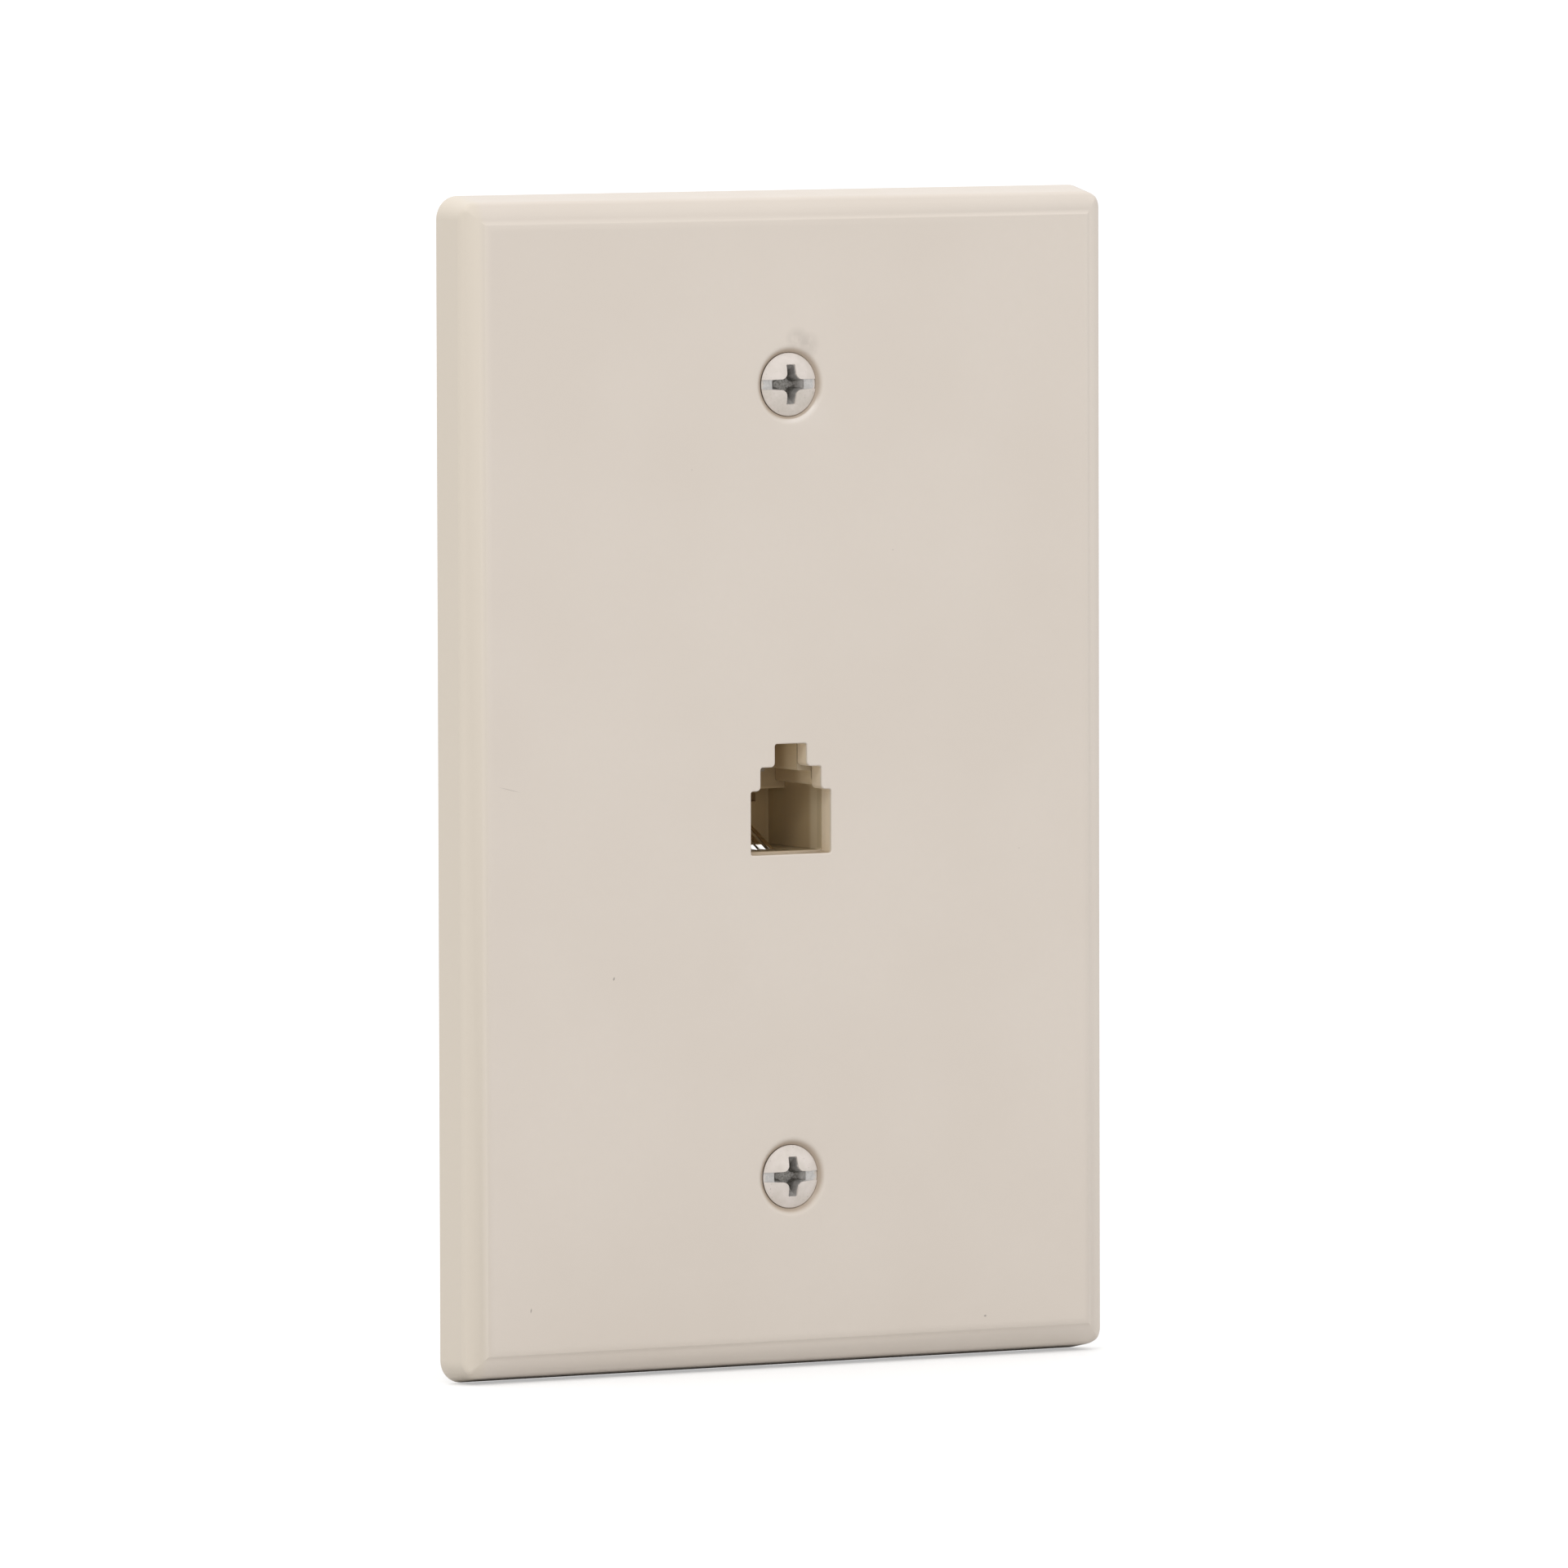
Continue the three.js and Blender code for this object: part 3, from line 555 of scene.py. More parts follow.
def plastic(name, color, shade, roughness=0.36, marks=(), edge_shade=0.0, tints=()):
    """Moulded plastic: faint mottling, slow waves and a fine orange-peel skin.
    Each of tints is a colour and its zones: painted shade, shadow and highlight, painted warm light that has
    bounced about and passed through the plastic, and dirt."""
    material, tree, coords = new_material(name)
    tone = mix(tree, ramp(tree, noise(tree, coords, 18.0, 2.0), 0.35, 0.65), color, shade)
    tone = mix(tree, ramp(tree, noise(tree, coords, 0.9), 0.3, 0.75, 0.0, 0.3), tone, shade)
    axes = add(tree, "ShaderNodeSeparateXYZ", {0: coords}).outputs
    for tint, *zones in tints:
        tone = mix(tree, inside_zones(tree, axes, *zones), tone, tint)
    skin = ramp(tree, noise(tree, coords, 3.0, 2.0), 0.3, 0.7, roughness - 0.03, roughness + 0.05)
    normal = bump(tree, noise(tree, coords, 26.0, 1.0), 0.05)
    normal = bump(tree, noise(tree, coords, 0.5, 2.0), 0.0035, normal)
    for x, z, half_width, half_height, tilt, soft, strength in marks:
        shape = spot(tree, coords, x, z, half_width, half_height, tilt, soft)
        if soft == SMUDGED:
            shape = math_node(tree, "MULTIPLY", shape, ramp(tree, noise(tree, coords, 1.4), 0.25, 0.5))
        tone = mix(tree, math_node(tree, "MULTIPLY", shape, strength), tone, GRIME)
    if edge_shade > 0:
        facing = add(tree, "ShaderNodeLayerWeight", {"Blend": 0.5}).outputs["Facing"]
        tone = mix(tree, ramp(tree, facing, 0.86, 1.0, 0.0, edge_shade), tone, (0.30, 0.25, 0.21))
    connect(tree, Base_Color=tone, Roughness=skin, Normal=normal, IOR=1.48)
    return material


def metal(name, color, tarnished, roughness, tarnish=0.5, grain=0.004, glint=None):
    """Plated or turned metal with tarnished patches and fine tool marks.
    The last argument, if given, is a zone of painted highlight and a direction: there the colour turns near
    white and the shading normal turns that way, to mirror the bright outside."""
    material, tree, coords = new_material(name)
    patches = ramp(tree, noise(tree, coords, 1.6, 4.0, 0.6), 0.42, 0.68, 0.0, tarnish)
    tone = mix(tree, patches, color, tarnished)
    rough = ramp(tree, noise(tree, coords, 0.7), 0.3, 0.7, roughness - 0.06, roughness + 0.1)
    normal = bump(tree, noise(tree, coords, 0.25), grain)
    # painted highlight: a zone lightened to near white, with its shading normal turned towards the bright
    # outside
    if glint:
        glint_zone, facing = glint
        glint_mask = inside_zones(tree, add(tree, "ShaderNodeSeparateXYZ", {0: coords}).outputs, glint_zone)
        blend = {0: math_node(tree, "MULTIPLY", glint_mask, 0.85), 4: normal, 5: facing}
        normal = add(tree, "ShaderNodeMix", blend, data_type="VECTOR").outputs[1]
        normal = add(tree, "ShaderNodeVectorMath", {0: normal}, operation="NORMALIZE").outputs[0]
        tone = mix(tree, glint_mask, tone, (1.0, 0.98, 0.95))
    connect(tree, Base_Color=tone, Roughness=rough, Metallic=1.0, Normal=normal)
    return material


def painted_screw(name):
    """Almond paint over the dome, chipped at its rims. The recess and the thread are bare zinc plate."""
    material, tree, coords = new_material(name)
    place = add(tree, "ShaderNodeObjectInfo").outputs["Location"]
    shifted = add(tree, "ShaderNodeVectorMath", {0: coords, 1: place}, operation="ADD").outputs[0]
    axes = add(tree, "ShaderNodeSeparateXYZ", {0: coords}).outputs
    radius_squared = math_node(tree, "ADD", math_node(tree, "MULTIPLY", axes["X"], axes["X"]),
                               math_node(tree, "MULTIPLY", axes["Z"], axes["Z"]))
    # depth below the dome, in millimetres
    dome = HEAD_DOME * MM
    crown = at(0, HEAD_Y - HEAD_CROWN, 0).y
    inner = math_node(tree, "MAXIMUM", math_node(tree, "SUBTRACT", dome ** 2, radius_squared), 0.0)
    sag = math_node(tree, "SUBTRACT", dome, math_node(tree, "SQRT", inner))
    below = math_node(tree, "SUBTRACT", math_node(tree, "SUBTRACT", axes["Y"], crown), sag)
    depth = math_node(tree, "MULTIPLY", below, 1.0 / MM)

    chips = noise(tree, shifted, 0.3, 3.0, 0.6)
    paint = mix(tree, ramp(tree, noise(tree, shifted, 1.4), 0.35, 0.7), (0.735, 0.665, 0.615),
                (0.640, 0.580, 0.520))
    # painted shade and dirt on the lower half of the upper head: darker towards the bottom, broken up by
    # noise
    on_upper = ramp(tree, add(tree, "ShaderNodeSeparateXYZ", {0: place}).outputs["Z"], -0.01, 0.01)
    shade_and_dirt = all_of(tree, on_upper, ramp(tree, axes["Z"], -1.2 * MM, 0.6 * MM, 0.30, 0.0),
                   ramp(tree, chips, 0.3, 0.6, 0.5, 1.2))
    paint = mix(tree, shade_and_dirt, paint, (0.50, 0.45, 0.38))
    paint = mix(tree, ramp(tree, chips, 0.66, 0.72, 0.0, 0.45), paint, (0.30, 0.26, 0.23))
    # bare zinc with painted shade: it turns much darker from 1 to 1.5 mm below the dome, deep in the recess
    # and on the thread
    grain = ramp(tree, noise(tree, shifted, 0.22, 4.0, 0.7), 0.36, 0.66)
    shallow = mix(tree, grain, (0.72, 0.70, 0.68), (0.58, 0.565, 0.55))
    deep_shaded = mix(tree, grain, (0.40, 0.385, 0.36), (0.14, 0.13, 0.12))
    zinc = mix(tree, ramp(tree, depth, 1.0, 1.5), shallow, deep_shaded)
    bare = ramp(tree, math_node(tree, "ADD", depth, ramp(tree, chips, 0.4, 0.7, -0.1, 0.1)), 0.16, 0.24)
    connect(tree, Base_Color=mix(tree, bare, paint, zinc), Metallic=math_node(tree, "MULTIPLY", bare, 0.85),
            Roughness=ramp(tree, bare, 0.0, 1.0, 0.40, 0.42),
            Normal=bump(tree, chips, 0.014, bump(tree, noise(tree, shifted, 1.3), 0.045)))
    return material


def insulation(name, color):
    material, tree, coords = new_material(name)
    dark = tuple(channel * 0.72 for channel in color)
    tone = mix(tree, ramp(tree, noise(tree, coords, 2.0, 2.0), 0.35, 0.7), color, dark)
    rough = ramp(tree, noise(tree, coords, 0.6, 2.0), 0.3, 0.7, 0.36, 0.5)
    connect(tree, Base_Color=tone, Roughness=rough, Normal=bump(tree, noise(tree, coords, 0.4, 2.0), 0.008))
    return material


def fibre_board(name):
    material, tree, coords = new_material(name)
    stretched = add(tree, "ShaderNodeMapping", {"Vector": coords, "Scale": (1.0, 1.0, 5.0)}).outputs[0]
    fibres = noise(tree, stretched, 0.8, 5.0, 0.65, 0.8)
    tone = mix(tree, ramp(tree, fibres, 0.3, 0.7), (0.42, 0.20, 0.10), (0.26, 0.11, 0.06))
    connect(tree, Base_Color=tone, Roughness=0.85, Normal=bump(tree, fibres, 0.05))
    return material


OPENING_WALL_Y = (FACE_Y + 0.25, INSIDE_Y + 0.1, 0.15)
ALMOND = plastic("almond_plastic", (0.700, 0.628, 0.556), (0.684, 0.611, 0.538), marks=MARKS, edge_shade=0.55,
                 tints=(
    # painted warm light on the walls of the opening, for light bounced about in the plastic and passed
    # through it
    ((0.845, 0.72, 0.545), zone((-5.6, 5.6, 0.2), OPENING_WALL_Y, (-8.4, 4.6, 0.2))),
    # painted shade: the left side of the plate a little darker and yellower
    ((0.690, 0.616, 0.522), zone(x=(-BEYOND, -36.8, 0.5))),
    # painted shadow on the right part of the opening's sill
    ((0.43, 0.33, 0.21), zone((2.6, 5.6, 1.8), OPENING_WALL_Y, (-8.4, -7.55, 0.1))),
    # painted shade and dirt in the dimples round the screw heads, and a painted highlight on the lower lip of
    # the upper one
    *(((0.45, 0.365, 0.285), zone((-4.8, 4.8, 0.2), (FACE_Y + 0.17, INSIDE_Y - 0.2, 0.14),
                                  (z - 4.8, z + 4.8, 0.2))) for z in (-SCREW_Z, SCREW_Z)),
    ((0.74, 0.675, 0.615), zone((-1.0, 4.8, 1.5), (FACE_Y + 0.03, FACE_Y + 0.28, 0.05),
                                (SCREW_Z - 4.9, SCREW_Z - 1.8, 0.8)))))

INSIDE_JACK = zone(x=(-4.98, 4.98, 0.03), z=(-10.4, 4.03, 0.03))
ABOVE_CAVITY_Z = -1.15
UPPER_STEPS = zone(z=(-0.9, BEYOND, 0.3))
HOUSING_TAN = plastic("housing_plastic", (0.66, 0.575, 0.475), (0.62, 0.54, 0.44), 0.4, tints=(
    # painted shade and warm bounced light: the cavity, the steps above it, and the rear walls of both
    ((0.49, 0.375, 0.22), zone(y=(-BEYOND, 8.7, 0.1)), INSIDE_JACK),
    ((0.58, 0.45, 0.28), zone(y=(-BEYOND, 4.4, 0.1)), INSIDE_JACK, UPPER_STEPS),
    ((0.43, 0.32, 0.185), zone(y=(4.2, 4.6, 0.05)), INSIDE_JACK, zone(z=(ABOVE_CAVITY_Z, BEYOND, 0.03))),
    ((0.50, 0.36, 0.19), zone(y=(7.6, 8.7, 0.05)), INSIDE_JACK),
    # painted shade and light: the right wall, lighter towards its two ends
    ((0.54, 0.42, 0.235), zone((4.6, 4.98, 0.1), (5.0, 7.6, 0.8), (CAVITY_FLOOR, ABOVE_CAVITY_Z, 0.1))),
    ((0.62, 0.515, 0.35), zone(y=(-BEYOND, -0.9, 0.35))),
    ((0.53, 0.435, 0.285), zone(y=(-BEYOND, -2.35, 0.08), z=(CAVITY_FLOOR + 0.1, ABOVE_CAVITY_Z, 0.05))),
    # painted light and shade: the front edge below the cavity, the light upper steps, and the dark cavity
    # floor
    ((0.56, 0.47, 0.36), zone(y=(-BEYOND, -3.0, 0.05), z=(-9.0, CAVITY_FLOOR, 0.05))),
    ((0.76, 0.63, 0.435), zone((-1.0, 4.98, 0.2), (-BEYOND, -0.5, 0.8), (-0.9, 4.03, 0.1))),
    ((0.30, 0.225, 0.13), zone(y=(-2.6, 7.8, 0.5)), INSIDE_JACK,
     zone(z=(-BEYOND, CAVITY_FLOOR + 0.06, 0.05))),
    # painted shadow on the front face round the upper steps, darkest on the left
    ((0.40, 0.32, 0.215), zone(y=(-BEYOND, -3.1, 0.04), z=(0.0, BEYOND, 0.2))),
    ((0.15, 0.11, 0.065), zone((-BEYOND, 0.0, 0.5), (-BEYOND, -3.1, 0.04), (0.0, BEYOND, 0.2)))))
TERMINAL_PLASTIC = plastic("terminal_plastic", (0.76, 0.72, 0.60), (0.71, 0.665, 0.545), 0.46)
# the lower ends of the three left wires carry a painted highlight: colour near white and the shading normal
# turned to mirror the outside
CONTACT = metal("contact_gold", (1.0, 0.90, 0.74), (0.85, 0.64, 0.38), 0.13, tarnish=0.35, grain=0.001,
                glint=(zone(x=(-2.0, 1.0, 0.1), z=(-8.5, -7.05, 0.07)), (-0.365, -0.907, 0.211)))
TINNED = metal("tinned_lug", (0.78, 0.77, 0.74), (0.48, 0.46, 0.43), 0.34)
BRASS = metal("terminal_brass", (0.86, 0.66, 0.34), (0.50, 0.34, 0.15), 0.30)
PAINTED = painted_screw("painted_screw")
FIBRE = fibre_board("fibre_washer")
INSULATION = {
    "black": insulation("insulation_black", (0.022, 0.022, 0.023)),
    "red": insulation("insulation_red", (0.50, 0.028, 0.020)),
    "green": insulation("insulation_green", (0.022, 0.24, 0.075)),
    "yellow": insulation("insulation_yellow", (0.72, 0.52, 0.045)),
}

# ------------------------------------------------------------------ faceplate


def plate_profile(share):
    """The plate's section, as (inset, y, corner radius), from the pocket's roof out over the rim to the face.
    share is how far a corner point lies inside the square corner, for each mm of corner radius."""
    slope = (PLATE_DEPTH - RIDGE_DEPTH) / (FACE_INSET - RIDGE_INSET)
    steep = RIDGE_DEPTH / RIDGE_INSET
    ridge = (RIDGE_DEPTH + slope * (share * CORNER_RADIUS - RIDGE_INSET)) / (steep - slope * (1 - share))
    border_y = -RIDGE_DEPTH - slope * (CORNER_RADIUS - RIDGE_INSET)
    return rounded_path([
        (RIM_WIDTH + 1.4, INSIDE_Y, 0.0, 0.0),
        (RIM_WIDTH, INSIDE_Y, POCKET_RADIUS, 0.5),
        (RIM_WIDTH, 0.0, POCKET_RADIUS, 0.25),
        (0.0, 0.0, CORNER_RADIUS, 0.22),
        (ridge, -ridge * steep, CORNER_RADIUS - ridge, 0.9),
        (CORNER_RADIUS, border_y, 0.0, 0.0),
        (FACE_INSET, FACE_Y, 0.0, 1.6),
        (FACE_INSET + 1.0, FACE_Y, 0.0, 0.0),
    ], 7)


def draw_shell(bm):
    """The plate's rim, side, bevel and border, swept round its outline."""
    corner_steps, squareness = 10, 24
    stations = []
    for quarter in range(4):
        side_x, side_z = ((1, -1), (1, 1), (-1, 1), (-1, -1))[quarter]
        for step in range(corner_steps + 1):
            angle = math.pi / 2 * step / corner_steps
            across, up = abs(math.cos(angle)), abs(math.sin(angle))
            share = 1 - (across ** squareness + up ** squareness) ** (1 / squareness)
            direction = (quarter - 1) * math.pi / 2 + angle
            points = []
            for inset, y, radius in plate_profile(max(share, 0.0)):
                x = side_x * (PLATE_WIDTH / 2 - inset - radius) + radius * math.cos(direction)
                z = side_z * (PLATE_HEIGHT / 2 - inset - radius) + radius * math.sin(direction)
                points.append((x, y, z))
            stations.append(points)
    loft(bm, list(zip(*stations)), cap=False)


def draw_opening(bm):
    """The walls of the keyed opening, with a rounded lip at the face."""
    lip = 0.16
    lip_rings = [(lip * (1 - math.sin(a)), FACE_Y + lip * (1 - math.cos(a)))
                 for a in (math.pi / 2 * step / 6 for step in range(7))]
    rings = []
    for grow, y in lip_rings + [(0.0, INSIDE_Y - 0.1), (0.1, INSIDE_Y)]:
        loop = keyed_loop(OPENING_STEPS, grow, OPENING_FLOOR, 0.26 + grow, 0.48 - grow)
        rings.append([(x, y, z) for x, z in loop])
    loft(bm, rings, cap=False)


def draw_screw_holes(bm):
    """For each screw a dimple, a seat for the head, a clearance hole and a boss behind it."""
    seat_length = (SEAT_RADIUS - CLEARANCE_RADIUS) / math.tan(HEAD_CONE) + 0.12
    hole = rounded_path([
        (DIMPLE_RADIUS + 0.9, FACE_Y, 0.0),
        (DIMPLE_RADIUS + 0.05, FACE_Y, 0.8),
        (SEAT_RADIUS, HEAD_Y + 0.06, 0.1),
        (CLEARANCE_RADIUS, HEAD_Y + seat_length, 0.2),
        (CLEARANCE_RADIUS, BOSS_BACK_Y, 0.2),
        (BOSS_RADIUS, BOSS_BACK_Y, 0.3),
        (BOSS_RADIUS, INSIDE_Y, 0.4),
        (BOSS_RADIUS + 0.8, INSIDE_Y, 0.0),
    ], 6)
    for z in (-SCREW_Z, SCREW_Z):
        loft(bm, [circle(radius, y, 72, 0.0, z) for radius, y in hole], cap=False)


def draw_plate(bm):
    draw_shell(bm)
    draw_opening(bm)
    draw_screw_holes(bm)
    bmesh.ops.remove_doubles(bm, verts=bm.verts, dist=1e-6)
    fill_plane(bm, FACE_Y)
    fill_plane(bm, INSIDE_Y)


def draw_ribs(bm):
    start, half, easing = INSIDE_Y - SINK, RIB_HALF_WIDTH, 0.25
    for end in (-1, 1):
        x, z = end * RIB_X, end * RIB_Z
        box(bm, (x - half, start, -UPRIGHT_RIB_REACH), (x + half, INSIDE_Y + 2, UPRIGHT_RIB_REACH), easing)
        box(bm, (-CROSS_RIB_REACH, start, z - half), (CROSS_RIB_REACH, INSIDE_Y + 1.9, z + half), easing)


def draw_hooks(bm):
    inner, outer, start = HOOK_INNER_X, HOOK_OUTER_X, INSIDE_Y - SINK
    leg = [(inner, start), (outer, start), (outer, HOOK_BACK_Y), (inner, HOOK_BACK_Y),
           (inner - HOOK_LATCH, 2.05), (inner - HOOK_LATCH, 1.65), (inner, 1.65)]
    for side in (-1, 1):
        outline = [(side * x, y) for x, y in leg]
        for z in HOOK_Z:
            extruded(bm, outline, z - HOOK_HALF_WIDTH, z + HOOK_HALF_WIDTH, "z", 0.12)


fit(make("wall_plate", [draw_plate, draw_ribs, draw_hooks]), "plate", ALMOND, "almond_plastic", "faceplate")

# ------------------------------------------------------------------ mounting screws and retainers


def draw_head(bm):
    """The oval head: a dome, a rounded edge and a cone that narrows to the shank."""
    centre = HEAD_Y - HEAD_CROWN + HEAD_DOME
    reach = math.asin(HEAD_RADIUS / HEAD_DOME)
    profile = [(HEAD_DOME * math.sin(a), centre - HEAD_DOME * math.cos(a)) for a in
               (reach * step / 24 for step in range(24))]
    neck_y = HEAD_Y + (HEAD_RADIUS - THREAD_RADIUS) / math.tan(HEAD_CONE)
    edge = rounded_path([(*profile[-1], 0.0), (HEAD_RADIUS, HEAD_Y, 0.12), (THREAD_RADIUS, neck_y, 0.0)], 4)
    turned(bm, profile + edge[1:] + [(THREAD_RADIUS - 0.1, neck_y + 1.2), (0.0, neck_y + 1.2)], steps=96)


def draw_slot(bm):
    front, floor, past_edge = HEAD_Y - 3, HEAD_Y - HEAD_CROWN + SLOT_DEPTH, 5
    outline = [(-past_edge, front), (past_edge, front), (past_edge, floor), (-past_edge, floor)]
    extruded(bm, outline, -SLOT_HALF_WIDTH, SLOT_HALF_WIDTH, "z")


def draw_cross(bm):
    """The tapered cross recess, as four wings with rounded corners between them."""
    crown = HEAD_Y - HEAD_CROWN
    tip_radius, web_radius, web = 0.14, 0.62, 0.42
    rings = []
    # depth, reach of the wings and half their width
    for depth, reach, half in ((-1.0, 2.45, 0.60), (0.0, 2.25, 0.55), (1.0, 1.92, 0.50), (2.1, 1.10, 0.30)):
        inner, shoulder = half + web, half + 0.02
        corners = []
        for quarter in range(4):
            cosine, sine = round(math.cos(quarter * math.pi / 2)), round(math.sin(quarter * math.pi / 2))
            for a, b, radius in ((reach, -half, tip_radius), (reach, half, tip_radius),
                                 (inner, shoulder, web_radius), (shoulder, inner, web_radius)):
                corners.append((a * cosine - b * sine, a * sine + b * cosine, radius))
        rings.append([(x, crown + depth, z) for x, z in rounded_loop(corners, 3)])
    loft(bm, rings)


def draw_shank(bm):
    thread(bm, HEAD_Y + 1.4, HEAD_Y + INCH)


def draw_retainer(bm):
    turned_ring(bm, rounded_loop([
        (RETAINER_HOLE, RETAINER_Y, 0.08), (RETAINER_RADIUS, RETAINER_Y, 0.15),
        (RETAINER_RADIUS, RETAINER_BACK_Y, 0.15), (RETAINER_HOLE, RETAINER_BACK_Y, 0.08)], 3))


def add_shank(screw, draw, where):
    """Joins a threaded shank to a finished head."""
    shank = make("shank", [draw], where)
    with bpy.context.temp_override(active_object=screw, selected_editable_objects=[screw, shank]):
        bpy.ops.object.join()


for place, side in (("upper", 1), ("lower", -1)):
    where = (0.0, 0.0, side * SCREW_Z * MM)
    screw = carve(f"painted_screw_{place}", [draw_head], [draw_slot, draw_cross], 0.09, where)
    add_shank(screw, draw_shank, where)
    fit(screw, f"mounting_screw_{place}", PAINTED, "painted_screw", f"mounting_screw_{place}")
    washer = make(f"fibre_retainer_{place}", [draw_retainer], where)
    fit(washer, f"screw_retainer_{place}", FIBRE, "fibre_washer", f"screw_retainer_{place}")

# ------------------------------------------------------------------ jack


def boxes(*corners):
    """Functions that each draw a box. prism and cylinder give such a function too."""
    return [lambda bm, low=low, high=high: box(bm, low, high) for low, high in corners]


def prism(outline, low, high):
    return lambda bm: extruded(bm, outline, low, high)


def cylinder(radius, low, high, x, z, steps):
    return lambda bm: turned(bm, [(0, low), (radius, low), (radius, high), (0, high)], x, z, steps)


def carve_housing():
    """The jack's moulding: a flange and a box, with the keyed mouth, the cavity and the wires' grooves."""
    half_width, past = OPENING_STEPS[0][0], 1
    flange = rectangle_loop(FLANGE_WIDTH, FLANGE_HEIGHT, 1.0, (OPENING_FLOOR + OPENING_STEPS[2][1]) / 2)
    mouth = keyed_loop(HOUSING_STEPS, 0.0, CAVITY_FLOOR, 0.2, 0.3)
    cuts = [prism(mouth, HOUSING_FRONT_Y - past, LATCH_BACK_Y)]
    cuts += boxes(
        ((-half_width, FLANGE_BACK_Y, CAVITY_FLOOR), (half_width, CAVITY_BACK_Y, CAVITY_TOP)),
        ((-POCKET_HALF_WIDTH, CAVITY_BACK_Y - past, POCKET_FLOOR),
         (POCKET_HALF_WIDTH, POCKET_BACK_Y, POCKET_TOP)))
    for x in CONTACT_X:
        left, right, under = x - GROOVE_HALF_WIDTH, x + GROOVE_HALF_WIDTH, LEG_Z - GROOVE_HALF_WIDTH
        cuts += boxes(
            ((left, GROOVE_FRONT_Y, under), (right, HOUSING_BACK_Y + past, CAVITY_FLOOR + past)),
            ((left, CAVITY_BACK_Y - past, CAVITY_FLOOR), (right, GROOVE_BACK_Y, GROOVE_TOP)))
    body = boxes(((-HOUSING_HALF_WIDTH, FLANGE_BACK_Y - past, HOUSING_BOTTOM),
                  (HOUSING_HALF_WIDTH, HOUSING_BACK_Y, HOUSING_TOP)))
    return carve("jack_body", [prism(flange, HOUSING_FRONT_Y, FLANGE_BACK_Y), *body], cuts, 0.12)


def carve_carrier():
    """The comb block on the housing's back, held by a clip on each side, with a hole for each lead."""
    half = GROOVE_HALF_WIDTH
    cuts = boxes(*(((x - half, COMB_SLOT_FRONT_Y, LEG_Z - half), (x + half, COMB_SLOT_BACK_Y, LEG_Z + half))
                   for x in CONTACT_X))
    cuts += [cylinder(LEAD_HOLE_RADIUS, LEAD_HOLE_Y, CARRIER_BACK_Y + 1, exit_x, LEAD_Z, 32)
             for name, side, level, exit_x in TERMINALS]
    clip_end = CARRIER_BACK_Y - 0.1
    solids = boxes(
        ((-CARRIER_HALF_WIDTH, CARRIER_FRONT_Y, CARRIER_BOTTOM),
         (CARRIER_HALF_WIDTH, CARRIER_BACK_Y, CARRIER_TOP)),
        ((-CLIP_OUTER_X, CLIP_BAR_Y, CLIP_BOTTOM), (CLIP_OUTER_X, CARRIER_BACK_Y, CLIP_TOP)),
        ((-CLIP_OUTER_X, CLIP_FRONT_Y, CLIP_BOTTOM), (-CLIP_INNER_X, clip_end, CLIP_TOP)),
        ((CLIP_INNER_X, CLIP_FRONT_Y, CLIP_BOTTOM), (CLIP_OUTER_X, clip_end, CLIP_TOP)))
    return carve("contact_comb", solids, cuts, 0.12, flat_sided=True)


def contact_path(x):
    """One bent wire: a leg under the cavity floor, a bend, and an arm that rises into the cavity."""
    arm_end_y = BEND_Y + math.cos(ARM_SLOPE) * ARM_LENGTH
    arm_end_z = BEND_Z + math.sin(ARM_SLOPE) * ARM_LENGTH
    crossing_y = BEND_Y - (BEND_Z - LEG_Z) / math.tan(ARM_SLOPE)
    corners = [(LEG_BACK_Y, LEG_Z, 0.0), (crossing_y, LEG_Z, 0.45), (arm_end_y, arm_end_z, 0.0)]
    bend = rounded_path(corners, 14)
    (leg_y, _), (bend_y, _) = bend[:2]
    leg = [(x, leg_y + (bend_y - leg_y) * step / 6, LEG_Z) for step in range(1, 6)]
    path = [(x, y, z) for y, z in bend]
    return path[:1] + leg + path[1:]


fit(carve_housing(), "plate", HOUSING_TAN, "almond_plastic", "jack_housing")
fit(carve_carrier(), "plate", TERMINAL_PLASTIC, "terminal_plastic", "contact_carrier")
for number, x in enumerate(CONTACT_X, 1):
    contact = make(f"contact_wire_{number}", [lambda bm: tube(bm, contact_path(x), WIRE_RADIUS, 20)])
    fit(contact, None, CONTACT, "spring_contact", f"contact_leg_{number}", f"contact_arm_{number}")
    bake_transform(contact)

# ------------------------------------------------------------------ terminal block, lugs and leads

terminal_places = [(side * TERMINAL_X, TERMINAL_MIDDLE_Z + level * TERMINAL_OFFSET_Z)
                   for name, side, level, exit_x in TERMINALS]


def carve_block():
    """The terminal block: a plate with four raised pads, two short ribs, and a window for the housing."""
    outline = rectangle_loop(BLOCK_WIDTH, BLOCK_HEIGHT, 2.0, TERMINAL_MIDDLE_Z)
    solids = [prism(outline, BLOCK_FRONT_Y, BLOCK_BACK_Y)]
    solids += [cylinder(PAD_RADIUS, PAD_FRONT_Y, PAD_Y, x, z, 64) for x, z in terminal_places]
    reach, (bottom, top) = BLOCK_RIB_REACH, BLOCK_RIB_Z
    solids += boxes(*(((x - reach, PAD_FRONT_Y, bottom), (x + reach, BLOCK_RIB_BACK_Y, top))
                      for x in (-BLOCK_RIB_X, BLOCK_RIB_X)))
    front, back = BLOCK_FRONT_Y - 1, PAD_Y + 1
    cuts = boxes(((-WINDOW_HALF_WIDTH, front, WINDOW_BOTTOM), (WINDOW_HALF_WIDTH, back, WINDOW_TOP)))
    cuts += [cylinder(THREAD_RADIUS + 0.08, front, back, x, z, 40) for x, z in terminal_places]
    return carve("terminal_base", solids, cuts, 0.18, flat_sided=True)


fit(carve_block(), "plate", TERMINAL_PLASTIC, "terminal_plastic", "terminal_block")


